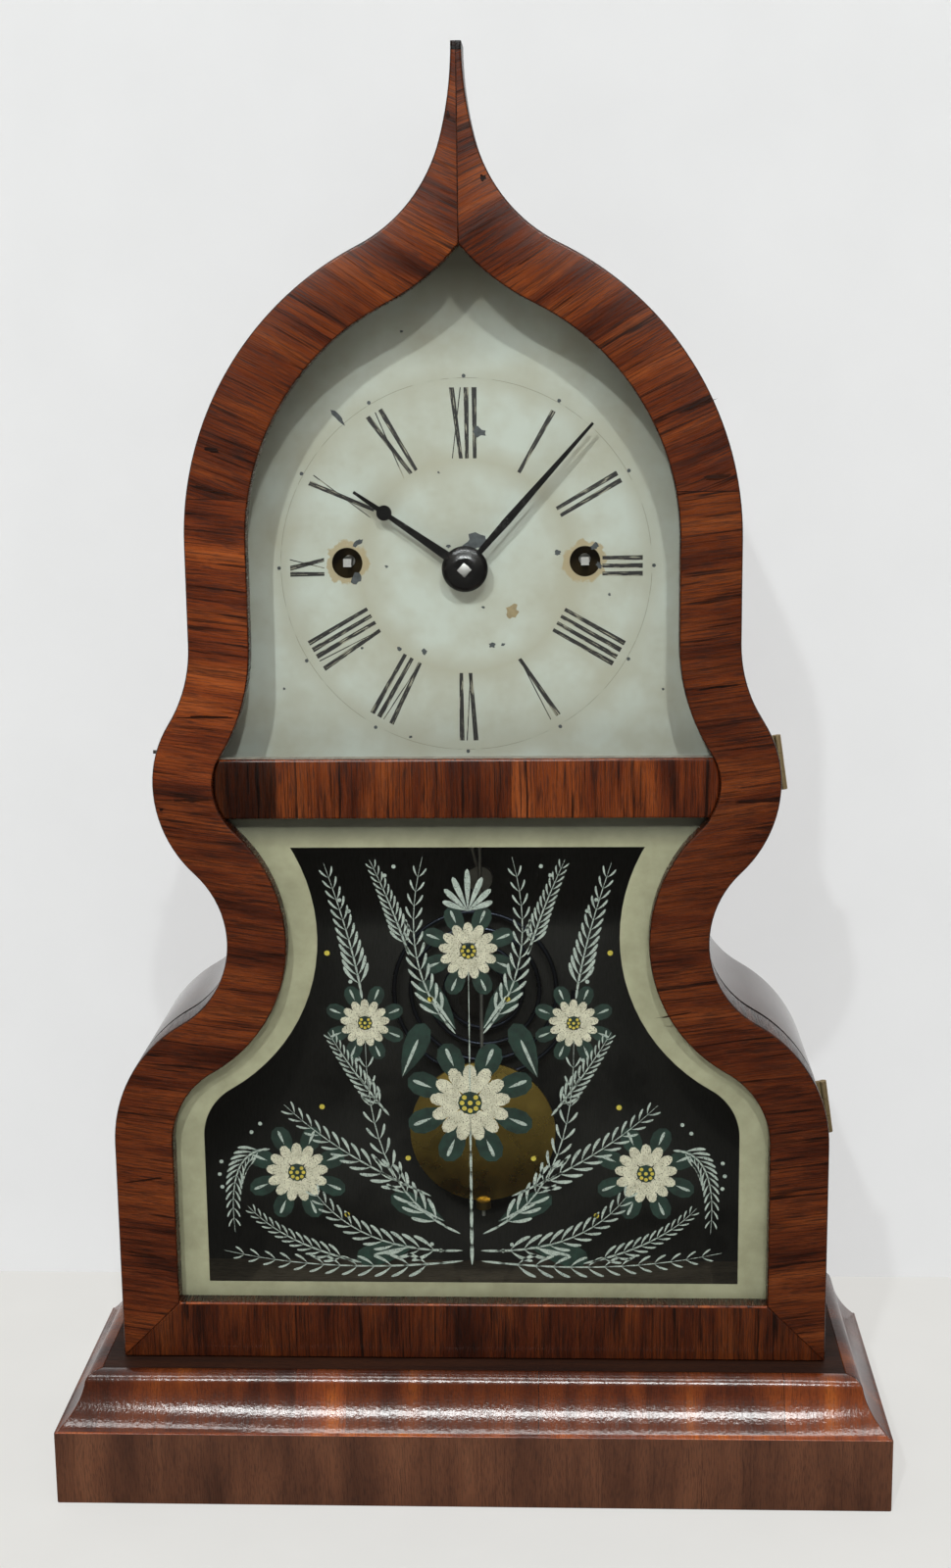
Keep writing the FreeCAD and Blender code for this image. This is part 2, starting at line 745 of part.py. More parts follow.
def door():
    """Makes the door's stiles and rails, its two panes and the latch pin."""
    front, back = number(DOOR_FRONT), number(DOOR_BACK)
    bottom, width = number(DOOR_BOTTOM), number("frame_width")
    glass_front = number(f"{DOOR_FRONT} + sight_depth")
    inner_bottom = bottom + width
    rebate = width - number("rebate")
    stile = ACORN.half(0, bottom, front, back)
    stile = stile.cut(ACORN.half(width, inner_bottom, front, back))
    stile = stile.cut(ACORN.half(rebate, bottom + rebate, glass_front, back))
    foot = number("foot_half_width")
    mitre = [Vector(0, front, bottom), Vector(foot, front, bottom),
             Vector(foot - width, front, inner_bottom), Vector(0, front, inner_bottom)]
    corner = Part.Face(Part.makePolygon(mitre + mitre[:1])).extrude(Vector(0, back - front, 0))
    stile = stile.cut(corner)
    pin = latch_points()[0]
    hole = rod(number("latch_pin_radius"), pin, pin + Vector(number("latch_pin_depth"), 0, 0))
    formed("door_left_stile", mirrored(stile).cut(hole))
    depth = number("hinge_leaf_thickness")
    for level in HINGE_LEVELS:
        mortise = hinge_box(level, number("hinge_leaf_width"), -depth, depth, number("hinge_length"))
        stile = stile.cut(mortise)
    formed("door_right_stile", stile)
    top = f"({DOOR_BOTTOM} + frame_width)"
    rail = pad_body("door_bottom_rail", [
        ("-foot_half_width", DOOR_BOTTOM), ("foot_half_width", DOOR_BOTTOM),
        ("foot_half_width - frame_width", top), ("-(foot_half_width - frame_width)", top),
    ], DOOR_FRONT, DOOR_BACK)
    groove = new_sketch(rail, "bottom_rail_rebate", "YZ_Plane")
    ledge = f"({top} - rebate)"
    glass = f"({DOOR_FRONT} + sight_depth)"
    draw(groove, [(glass, ledge), (DOOR_BACK, ledge), (DOOR_BACK, top), (glass, top)])
    cut_through(rail, "bottom_rail_groove", groove)
    low, high = number("rail_level"), number("rail_level + rail_height")
    web = number("rail_web / 2")
    middle = (low + high) / 2
    rail_front = number(f"{DOOR_FRONT} + rail_recess")
    face = ACORN.whole(width, bottom, rail_front, glass_front)
    face = face.common(block(Vector(-foot, rail_front, low), Vector(foot, glass_front, high)))
    tongue = ACORN.whole(rebate, bottom, glass_front, back)
    slot = block(Vector(-foot, glass_front, middle - web), Vector(foot, back, middle + web))
    tongue = tongue.common(slot)
    formed("door_mid_rail", face.fuse(tongue).removeSplitter())
    clear = number("glass_clearance")
    pane = ACORN.whole(rebate + clear, bottom + rebate + clear, glass_front,
                       glass_front + number("glass_thickness"))
    split = block(Vector(-foot, front, middle - web - clear), Vector(foot, back, middle + web + clear))
    panes = sorted(pane.cut(split).Solids, key=lambda solid: solid.CenterOfMass.z)
    formed("tablet_glass", panes[0])
    formed("dial_glass", panes[1])
    reach = number("latch_standoff + latch_thickness + latch_standoff")
    formed("latch_pin", rod(number("latch_pin_radius"), pin - Vector(reach, 0, 0),
                            pin + Vector(number("latch_pin_depth"), 0, 0)))


def hinges():
    """Makes the hinge leaves and pins on the tilted axis."""
    depth, gap = number("hinge_leaf_thickness"), number("hinge_clearance")
    formed("hinge_case_leaves", Part.Compound(hinge_leaves(gap, depth, True)))
    formed("hinge_door_leaves", Part.Compound(hinge_leaves(-depth, -gap, False)))
    half = number("hinge_length / 2")
    pins = [hinge_rod(level, number("hinge_pin_radius"), -half, half) for level in HINGE_LEVELS]
    formed("hinge_pins", Part.Compound(pins))


def latch():
    """Makes the swivel hook, hanging free of its pin, and the screw that it turns on."""
    pin, pivot = latch_points()
    bar, radius = number("latch_bar"), number("latch_screw_radius")
    clear = number("latch_pin_radius") + number("latch_standoff")
    lip = number("latch_thickness")
    out = number("latch_standoff")
    tip = pin.y - clear - lip
    corners = [(pivot.y, pin.z - bar / 2), (pivot.y, pin.z + clear + bar), (tip, pin.z + clear + bar),
               (tip, pin.z - clear), (tip + lip, pin.z - clear), (tip + lip, pin.z + clear),
               (pivot.y - bar, pin.z + clear)]
    points = [Vector(pin.x - out, y, z) for y, z in corners]
    plate = Part.Face(Part.makePolygon(points + points[:1])).extrude(Vector(-lip, 0, 0))
    center = pivot + Vector(-out, 0, (clear + bar / 2) / 2)
    across = Vector(-lip, 0, 0)
    plate = plate.fuse(rod(clear + bar / 2, center, center + across)).removeSplitter()
    head_start = pivot - Vector(2 * out + lip, 0, 0)
    plate = plate.cut(rod(radius + number("running_fit"), pivot, head_start))
    plate.rotate(pivot, Vector(1, 0, 0), number("latch_hang"))
    formed("latch_hook", plate)
    shank = rod(radius, pivot + Vector(number("latch_pin_depth"), 0, 0), head_start)
    head = rod(number("latch_head_radius"), head_start, head_start + across)
    formed("latch_screw", shank.fuse(head).removeSplitter())


def dial():
    """Makes the dial sheet with its holes, and its screws."""
    front, back = number("dial_front"), number(DIAL_BACK)
    inset = number("side_thickness + dial_clearance")
    sheet = ACORN.whole(inset, number("dial_bottom_level"), front, back)
    level = number("dial_level")
    holes = [(0, level, number("center_hole_radius"))]
    winding_level = level + number("winding_rise")
    for side in (-1, 1):
        holes.append((side * number("winding_x"), winding_level, number("winding_hole_radius")))
    holes += [(spot.x, spot.z, number("dial_screw_radius")) for spot in dial_screw_places()]
    for x, z, radius in holes:
        sheet = sheet.cut(rod(radius, Vector(x, front, z), Vector(x, back, z)))
    formed("dial", sheet)
    screws = []
    for spot in dial_screw_places():
        face = Vector(spot.x, front, spot.z)
        shank = rod(number("dial_screw_radius"), face, spot + Vector(0, number("dial_screw_length"), 0))
        head = rod(number("dial_screw_head"), face - Vector(0, number("dial_screw_head_height"), 0), face)
        screws.append(shank.fuse(head).removeSplitter())
    formed("dial_screws", Part.Compound(screws))


# Movement: places and shapes of its wheels, arbors and springs.
def polar(center, distance, bearing):
    """Returns the point at a distance and bearing, in degrees from +X towards +Z."""
    turn = math.radians(bearing)
    return center + Vector(distance * math.cos(turn), 0, distance * math.sin(turn))


def bearing_of(start, end):
    """Returns the bearing from one arbor to another in degrees."""
    return math.degrees(math.atan2(end.z - start.z, end.x - start.x))


def spacing(teeth, leaves, module):
    """Returns the distance between two meshing arbors."""
    return number(f"({teeth} + {leaves}) * {module} / 2")


def below(first, first_reach, second, second_reach):
    """Returns the lower point at given distances from two others."""
    span = second - first
    along = (first_reach ** 2 - second_reach ** 2 + span.Length ** 2) / (2 * span.Length)
    drop = math.sqrt(first_reach ** 2 - along ** 2)
    level = Vector(span).normalize()
    down = Vector(level.z, 0, -level.x)
    return first + level * along + down * math.copysign(drop, -down.z)


def arbor_places():
    """Returns where each arbor stands, by name, at the depth of the frame's middle."""
    middle = Vector(0, 0, number("dial_level"))
    great = spacing("great_teeth", "great_pinion", "great_module")
    spots = {"center": middle}
    for name, side in (("time", 1), ("strike", -1)):
        spots[name] = middle + Vector(side * number("winding_x"), 0, number("winding_rise"))
    spots["second"] = below(middle, spacing("second_teeth", "center_pinion", "second_module"),
                            spots["time"], great)
    spots["third"] = polar(middle, spacing("center_teeth", "third_pinion", "center_module"),
                           number("third_bearing"))
    reach = spacing("third_teeth", "escape_pinion", "third_module")
    across = number("pendulum_x") - spots["third"].x
    spots["escape"] = spots["third"] + Vector(across, 0, math.sqrt(reach ** 2 - across ** 2))
    spots["verge"] = middle + Vector(number("pendulum_x"), 0, number("pivot_rise"))
    spots["strike_second"] = polar(spots["strike"], great, number("strike_second_bearing"))
    reach = spacing("strike_second_teeth", "strike_third_pinion", "strike_second_module")
    spots["strike_third"] = polar(spots["strike_second"], reach, number("strike_third_bearing"))
    reach = spacing("strike_third_teeth", "fly_pinion", "strike_third_module")
    spots["fly"] = polar(spots["strike_third"], reach, number("fly_bearing"))
    spots["hammer"] = middle + Vector(number("hammer_x"), 0, -number("hammer_drop"))
    spots["motion"] = polar(middle, spacing("motion_teeth", "cannon_teeth", "motion_module"),
                            number("motion_bearing"))
    return spots


SPOTS = arbor_places()
FRAME_FRONT = number(PLATE_FRONT_BACK)
FRAME_BACK = number(PLATE_BACK_FRONT)


def at_depth(spot, depth):
    """Returns a place moved to a depth."""
    return Vector(spot.x, depth, spot.z)


def shaft(spot, *steps):
    """Returns a stepped shaft: each step is a radius, a front depth and a back depth."""
    pieces = [rod(radius, at_depth(spot, front), at_depth(spot, back)) for radius, front, back in steps]
    return pieces[0].multiFuse(pieces[1:]) if len(pieces) > 1 else pieces[0]


def plate_of(points, front, back):
    """Returns a flat plate of an outline in X and Z."""
    loop = [Vector(point.x, front, point.z) for point in points]
    return Part.Face(Part.makePolygon(loop + loop[:1])).extrude(Vector(0, back - front, 0))


def toothed(spot, count, profile, bearing, front, back):
    """Returns a plate with teeth, one of them centred on a bearing.

    Args:
        spot: the arbor's place.
        count: how many teeth.
        profile: radius and angle, as a share of the pitch, of each point of a tooth.
        bearing: where a tooth is centred, in degrees.
        front: the front face's depth.
        back: the back face's depth.
    """
    pitch = 360 / count
    points = [polar(spot, radius, bearing + pitch * (index + share))
              for index in range(count) for radius, share in profile]
    return plate_of(points, front, back)


# Tooth proportions: heights in modules, half widths as shares of the pitch.
UPWARD = 90
WHEEL_ADDENDUM, WHEEL_DEDENDUM = 0.8, 1.1
LEAF_ADDENDUM, LEAF_DEDENDUM = 0.5, 1.25
WHEEL_ROOT_SHARE, WHEEL_TIP_SHARE = 0.32, 0.12
LEAF_ROOT_SHARE, LEAF_TIP_SHARE = 0.26, 0.13


def wheel(spot, teeth, module, mate, front, thickness):
    """Returns a wheel with a tooth pointing at the pinion that it drives."""
    count, size = round(number(teeth)), number(module)
    pitch_radius = count * size / 2
    root, tip = pitch_radius - WHEEL_DEDENDUM * size, pitch_radius + WHEEL_ADDENDUM * size
    profile = [(root, -WHEEL_ROOT_SHARE), (tip, -WHEEL_TIP_SHARE),
               (tip, WHEEL_TIP_SHARE), (root, WHEEL_ROOT_SHARE)]
    return toothed(spot, count, profile, bearing_of(spot, mate), front, front + thickness)


def pinion(spot, leaves, module, driver, front, back):
    """Returns a pinion with a gap facing the wheel that drives it."""
    count, size = round(number(leaves)), number(module)
    pitch_radius = count * size / 2
    root, tip = pitch_radius - LEAF_DEDENDUM * size, pitch_radius + LEAF_ADDENDUM * size
    profile = [(root, -LEAF_ROOT_SHARE), (tip, -LEAF_TIP_SHARE),
               (tip, LEAF_TIP_SHARE), (root, LEAF_ROOT_SHARE)]
    return toothed(spot, count, profile, bearing_of(spot, driver) + 180 / count, front, back)


def crossed(shape, spot, rim, hub, front, back):
    """Cuts a wheel's crossings, leaving straight arms between its hub and its rim."""
    arms = round(number("wheel_arms"))
    arm = math.degrees(number("arm_width / 2") / hub)
    outer_arm = math.degrees(number("arm_width / 2") / rim)
    for index in range(arms):
        start, end = 360 / arms * index, 360 / arms * (index + 1)
        middle = (start + end) / 2
        low = [at_depth(polar(spot, hub, angle), front) for angle in (start + arm, middle, end - arm)]
        high = [at_depth(polar(spot, rim, angle), front)
                for angle in (start + outer_arm, middle, end - outer_arm)]
        edges = [Part.Arc(*low).toShape(), Part.makeLine(low[2], high[2]),
                 Part.Arc(*high).toShape(), Part.makeLine(high[0], low[0])]
        window = Part.Face(Part.Wire(Part.__sortEdges__(edges)))
        shape = shape.cut(window.extrude(Vector(0, back - front, 0)))
    return shape


def pivots(spot, radius):
    """Returns an arbor between the plates, with a pivot in each."""
    shake, pivot = number("end_shake"), number("pivot_radius")
    inside = number("plate_thickness") - shake
    return shaft(spot, (pivot, FRAME_FRONT - inside, FRAME_FRONT + shake),
                 (radius, FRAME_FRONT + shake, FRAME_BACK - shake),
                 (pivot, FRAME_BACK - shake, FRAME_BACK + inside))


def mobile(label, teeth, leaves, mate, driver, plane, pinion_plane, depth):
    """Makes a train's wheel, pinion and arbor.

    Args:
        label: the sub-part's name.
        teeth: names of the wheel's tooth count and module.
        leaves: names of the pinion's leaf count and module.
        mate: the place that the wheel drives, after the arbor's own.
        driver: the place of the wheel that drives the pinion.
        plane: the wheel's front face behind the front plate.
        pinion_plane: the front face of the wheel that drives the pinion.
        depth: that wheel's thickness.
    """
    spot, target = mate
    front = FRAME_FRONT + number(plane)
    thickness = number("wheel_thickness")
    overlap = number("pinion_overlap")
    leaf_front = FRAME_FRONT + number(pinion_plane) - overlap
    disc = wheel(spot, teeth[0], teeth[1], target, front, thickness)
    rim = number(f"{teeth[0]} * {teeth[1]} / 2 - {WHEEL_DEDENDUM} * {teeth[1]} - rim_width")
    disc = crossed(disc, spot, rim, number("hub_radius"), front, front + thickness)
    leaf = pinion(spot, leaves[0], leaves[1], driver, leaf_front, leaf_front + number(depth) + 2 * overlap)
    return formed(label, pivots(spot, number("arbor_radius")).multiFuse([disc, leaf]).removeSplitter())


# The click's corners as shares of its width beyond the ratchet, each with its bearing, and its post's share.
CLICK_OUTLINE = ((0.1, 37), (0.3, 23), (0.8, 2), (0.8, -7), (1.8, -6), (1.8, 5), (1.1, 27))
CLICK_POST = 1.3


def winding(side):
    """Makes one side's winding arbor, great wheel, click and mainspring."""
    spot = SPOTS[side]
    mate = SPOTS["second"] if side == "time" else SPOTS["strike_second"]
    radius, shake = number("winding_arbor_radius"), number("end_shake")
    square = number("winding_square")
    neck = square / math.sqrt(2)
    plate_front = number("front_plate_front")
    half = square / 2
    key = block(Vector(spot.x - half, number("winding_front"), spot.z - half),
                Vector(spot.x + half, plate_front - shake, spot.z + half))
    ratchet_front = FRAME_FRONT + number("ratchet_plane")
    ratchet_back = ratchet_front + number("ratchet_thickness")
    tip = number("ratchet_radius")
    profile = [(tip, 0), (tip - number("ratchet_depth"), number("ratchet_lean"))]
    saw = toothed(spot, round(number("ratchet_teeth")), profile, 0, ratchet_front, ratchet_back)
    body = shaft(spot, (neck, plate_front - shake, FRAME_FRONT + shake),
                 (radius, FRAME_FRONT + shake, FRAME_BACK - shake),
                 (number("winding_pivot_radius"), FRAME_BACK - shake, number(PLATE_BACK_BACK) - shake))
    formed(f"{side}_winding_arbor", body.multiFuse([key, saw]).removeSplitter())
    front = FRAME_FRONT + number("great_plane")
    disc = wheel(spot, "great_teeth", "great_module", mate, front, number("great_thickness"))
    back = front + number("great_thickness")
    fit, width = number("running_fit"), number("click_width")
    near = tip + number("click_clearance")
    post = polar(spot, near + CLICK_POST * width, 0)
    bores = [shaft(spot, (radius + fit, front, back)), shaft(post, (width / 2 + fit, front, back))]
    formed(f"{side}_great_wheel", disc.cut(bores))
    corners = [polar(spot, near + share * width, angle) for share, angle in CLICK_OUTLINE]
    pawl = plate_of(corners, ratchet_front, ratchet_back)
    formed(f"{side}_click", pawl.fuse(shaft(post, (width / 2, ratchet_front, back))).removeSplitter())
    spring = mainspring()
    formed(f"{side}_mainspring", spring if side == "time" else mirrored(spring))


def mainspring():
    """Returns the time side's spring: a spiral strip of half-turn arcs whose end hooks round a pillar."""
    half_turns = round(number("2 * spring_turns"))
    inner = number("winding_arbor_radius + spring_clearance + spring_strip / 2")
    outer = number("spring_outer_radius")
    step = (outer - inner) / half_turns
    spot, thickness = SPOTS["time"], number("spring_strip")
    front = FRAME_FRONT + number("spring_plane")
    end_x = spot.x + outer
    arcs = []
    edge_x = end_x
    for index in reversed(range(half_turns)):
        radius = inner + step * (index + 1)
        side = 1 if index % 2 else -1
        center = at_depth(Vector(edge_x - side * radius, 0, spot.z), front)
        arcs.insert(0, (center, radius, side))
        edge_x -= 2 * side * radius
    hook_level = number("dial_level - pillar_rise")
    hook = Vector(end_x - number("pillar_radius") - thickness, front, hook_level)
    arcs.append((hook, end_x - hook.x, -1))
    edges = []
    ends = []
    for shift in (-thickness / 2, thickness / 2):
        for center, radius, side in arcs:
            points = [center + Vector(math.cos(turn), 0, side * math.sin(turn)) * (radius + shift)
                      for turn in (0, math.pi / 2, math.pi)]
            edges.append(Part.Arc(*points).toShape())
        top = Vector(end_x + shift, front, spot.z)
        edges.append(Part.makeLine(top, Vector(top.x, front, hook_level)))
        first, last = arcs[0], arcs[-1]
        ends.append((first[0] + Vector(first[1] + shift, 0, 0), last[0] - Vector(last[1] + shift, 0, 0)))
    edges.append(Part.makeLine(ends[0][0], ends[1][0]))
    edges.append(Part.makeLine(ends[0][1], ends[1][1]))
    strip = Part.Face(Part.Wire(Part.__sortEdges__(edges)))
    return strip.extrude(Vector(0, number("spring_width"), 0))


def frame():
    """Makes the plates, pillars, screws, the motion work's stud and the pendulum's cock."""
    fit = number("running_fit")
    small = number("pivot_radius") + fit
    moving = ("second", "third", "escape", "verge", "strike_second", "strike_third", "fly", "hammer")
    shared = [(SPOTS[name].x, SPOTS[name].z, small) for name in moving]
    windows = [(f"{side}window_x", f"dial_level {rise} window_rise", "window_radius")
               for side, rise in (("-", "+"), ("", "+"), ("", "-"))]
    front_pivots = [(SPOTS[name].x, SPOTS[name].z, number("winding_square / sqrt(2)") + fit)
                    for name in ("time", "strike")]
    front_pivots.append((0.0, SPOTS["center"].z, number("center_arbor_radius") + fit))
    back_pivots = [(SPOTS[name].x, SPOTS[name].z, number("winding_pivot_radius") + fit)
                   for name in ("time", "strike")]
    back_pivots.append((0.0, SPOTS["center"].z, small))
    screw_holes = [(f"{side}batten_x", f"dial_level {rise} movement_screw_rise", "movement_screw_radius")
                   for side, rise in FOUR_CORNERS]
    corners = [(f"{side}plate_half_width", f"dial_level {rise} plate_half_height")
               for side, rise in (("-", "-"), ("", "-"), ("", "+"), ("-", "+"))]
    front = pad_body("front_plate", corners, "front_plate_front", PLATE_FRONT_BACK)
    drill(front, "front_pivots", shared + front_pivots)
    drill(front, "front_windows", windows)
    back = pad_body("back_plate", corners, PLATE_BACK_FRONT, PLATE_BACK_BACK)
    drill(back, "back_pivots", shared + back_pivots)
    drill(back, "back_screw_holes", screw_holes)
    drill(back, "back_windows", windows)
    pillars = [cylinder(f"pillar_{i}", "pillar_radius", "plate_gap",
                        (f"{side}{PILLAR_X}", PLATE_FRONT_BACK, f"dial_level {rise} pillar_rise"))
               for i, (side, rise) in enumerate(FOUR_CORNERS)]
    node(joined("pillars", pillars), "pillars")
    screws = []
    for i, (side, rise) in enumerate(FOUR_CORNERS):
        spot = (f"{side}batten_x", PLATE_BACK_FRONT, f"dial_level {rise} movement_screw_rise")
        shank = cylinder(f"movement_shank_{i}", "movement_screw_radius", "movement_screw_length", spot)
        spot = (spot[0], f"{PLATE_BACK_FRONT} - plate_thickness", spot[2])
        head = cylinder(f"movement_head_{i}", "movement_screw_head", "plate_thickness", spot)
        screws += [shank, head]
    node(joined("movement_screws", screws), "movement_screws")
    plate_front = number("front_plate_front")
    stud_front = plate_front - number("hour_plane + pinion_overlap + end_shake")
    formed("motion_stud", shaft(SPOTS["motion"], (number("arbor_radius"), stud_front, plate_front)))
    bottom = f"({PIVOT_LEVEL} + cock_rise)"
    depth = f"({PENDULUM_Y} + suspension_width - {PLATE_BACK_BACK})"
    slot_width = "(suspension_strip + 2 * cock_slot_clearance)"
    jaws = box("cock_block", ("cock_width", depth, "cock_height"),
               ("pendulum_x - cock_width / 2", PLATE_BACK_BACK, bottom))
    slot = box("cock_slot", (slot_width, depth, "suspension_above + cock_slot_clearance - cock_rise"),
               (f"pendulum_x - {slot_width} / 2", PLATE_BACK_BACK, bottom))
    node(less("suspension_cock", jaws, slot), "suspension_cock")


def going_train():
    """Makes the wheels from the great wheel's pinion to the escape wheel."""
    mobile("time_second_wheel", ("second_teeth", "second_module"), ("great_pinion", "great_module"),
           (SPOTS["second"], SPOTS["center"]), SPOTS["time"],
           "second_plane", "great_plane", "great_thickness")
    spot = SPOTS["center"]
    front = FRAME_FRONT + number("center_plane")
    thickness, radius = number("wheel_thickness"), number("center_arbor_radius")
    disc = wheel(spot, "center_teeth", "center_module", SPOTS["third"], front, thickness)
    rim = number(f"center_teeth * center_module / 2 - {WHEEL_DEDENDUM} * center_module - rim_width")
    disc = crossed(disc, spot, rim, number("hub_radius"), front, front + thickness)
    formed("center_wheel", disc.cut(shaft(spot, (radius, front, front + thickness))))
    shake, overlap = number("end_shake"), number("pinion_overlap")
    leaf_front = FRAME_FRONT + number("second_plane") - overlap
    leaf = pinion(spot, "center_pinion", "second_module", SPOTS["second"], leaf_front,
                  leaf_front + thickness + 2 * overlap)
    collet_front = number("minute_hand_front - collet_height")
    stem = shaft(spot, (radius, collet_front, FRAME_BACK - shake),
                 (number("pivot_radius"), FRAME_BACK - shake, number(PLATE_BACK_BACK) - shake))
    tip = plate_of([polar(spot, radius, turn) for turn in (0, 90, 180, 270)],
                   collet_front - number("arbor_tip"), collet_front)
    formed("center_arbor", stem.multiFuse([leaf, tip]).removeSplitter())
    mobile("third_wheel", ("third_teeth", "third_module"), ("third_pinion", "center_module"),
           (SPOTS["third"], SPOTS["escape"]), SPOTS["center"],
           "third_plane", "center_plane", "wheel_thickness")
    spot = SPOTS["escape"]
    front = FRAME_FRONT + number("escape_plane")
    tip_radius = number("escape_radius")
    root = tip_radius - number("escape_tooth_depth")
    profile = [(root, -number("escape_tooth_heel")), (tip_radius, -number("escape_tooth_tip")),
               (root, number("escape_tooth_face"))]
    disc = toothed(spot, round(number("escape_teeth")), profile, UPWARD, front, front + thickness)
    disc = crossed(disc, spot, root - number("rim_width"), number("hub_radius"), front, front + thickness)
    leaf_front = FRAME_FRONT + number("third_plane") - overlap
    leaf = pinion(spot, "escape_pinion", "third_module", SPOTS["third"], leaf_front,
                  leaf_front + thickness + 2 * overlap)
    formed("escape_wheel", pivots(spot, number("arbor_radius")).multiFuse([disc, leaf]).removeSplitter())


def motion_work():
    """Makes the cannon pinion, the minute wheel and the hour wheel with its pipe."""
    center, stud = SPOTS["center"], SPOTS["motion"]
    plate, fit = number("front_plate_front"), number("running_fit")
    overlap, thickness = number("pinion_overlap"), number("wheel_thickness")
    motion_front, hour_front = plate - number("motion_plane"), plate - number("hour_plane")
    hand_back = number("minute_hand_front + hand_thickness")
    cannon_back = motion_front + thickness + overlap
    leaf = pinion(center, "cannon_teeth", "motion_module", stud, motion_front - overlap, cannon_back)
    pipe = shaft(center, (number("cannon_radius"), hand_back, cannon_back))
    bore = shaft(center, (number("center_arbor_radius"), hand_back, plate))
    formed("cannon_pinion", pipe.fuse(leaf).removeSplitter().cut(bore))
    disc = wheel(stud, "motion_teeth", "motion_module", center, motion_front, thickness)
    leaf = pinion(stud, "hour_pinion", HOUR_MODULE, center, hour_front - overlap, motion_front)
    bore = shaft(stud, (number("arbor_radius") + fit, hour_front - overlap, plate))
    formed("minute_wheel", disc.fuse(leaf).removeSplitter().cut(bore))
    disc = wheel(center, "hour_teeth", HOUR_MODULE, stud, hour_front, thickness)
    pipe = shaft(center, (number("hour_pipe_radius"), number("hour_hand_front"), hour_front + thickness))
    bore = shaft(center, (number("cannon_radius") + fit, number("hour_hand_front"), plate))
    formed("hour_wheel", disc.fuse(pipe).removeSplitter().cut(bore))


def hub_corners(half_width):
    """Returns the corners of a hand's round hub, from its left shoulder round to its right one."""
    shoulder = f"sqrt(hand_hub_radius ^ 2 - ({half_width}) ^ 2)"
    return [(f"-({half_width})", shoulder, "hand_hub_radius"),
            ("-0.8 * hand_hub_radius", "-0.6 * hand_hub_radius", "hand_hub_radius"),
            ("0.8 * hand_hub_radius", "-0.6 * hand_hub_radius", "hand_hub_radius"),
            (half_width, shoulder)]


def hands():
    """Makes the two hands, each turned to the time shown, and the domed collet."""
    neck, spade = "hour_hand_neck", "hour_spade_radius"
    low = f"hour_spade_reach - sqrt({spade} ^ 2 - {neck} ^ 2)"
    high = f"hour_spade_reach + sqrt({spade} ^ 2 - {neck} ^ 2)"
    hour = hub_corners("hour_hand_width / 2") + [
        (neck, low, spade), (neck, high), ("hand_tip / 2", "hour_hand_length"),
        ("-hand_tip / 2", "hour_hand_length"), (f"-{neck}", high, spade), (f"-{neck}", low)]
    minute = hub_corners("minute_hand_width / 3") + [
        ("minute_hand_width / 2", "minute_hand_length / 3"), ("hand_tip / 2", "minute_hand_length"),
        ("-hand_tip / 2", "minute_hand_length"), ("-minute_hand_width / 2", "minute_hand_length / 3")]
    hands_made = (("hour", hour, "hour_pipe_radius"), ("minute", minute, "center_arbor_radius"))
    for name, corners, bore in hands_made:
        front = f"{name}_hand_front"
        body = pad_body(f"{name}_hand", corners, front, f"{front} + hand_thickness")
        drill(body, f"{name}_hand_bore", [("0", "0", bore)])
        body.Placement = Placement(Vector(), Rotation(Vector(0, 1, 0), number(f"{name}_hand_angle")))
        place(body, ("0", "0", "dial_level"))
    front = "(minute_hand_front - collet_height)"
    turned_body("hand_collet", [
        ("center_arbor_radius", front), ("collet_radius / 2", front, "collet_radius"),
        ("collet_radius", "minute_hand_front"), ("center_arbor_radius", "minute_hand_front"),
    ], "0", "dial_level")


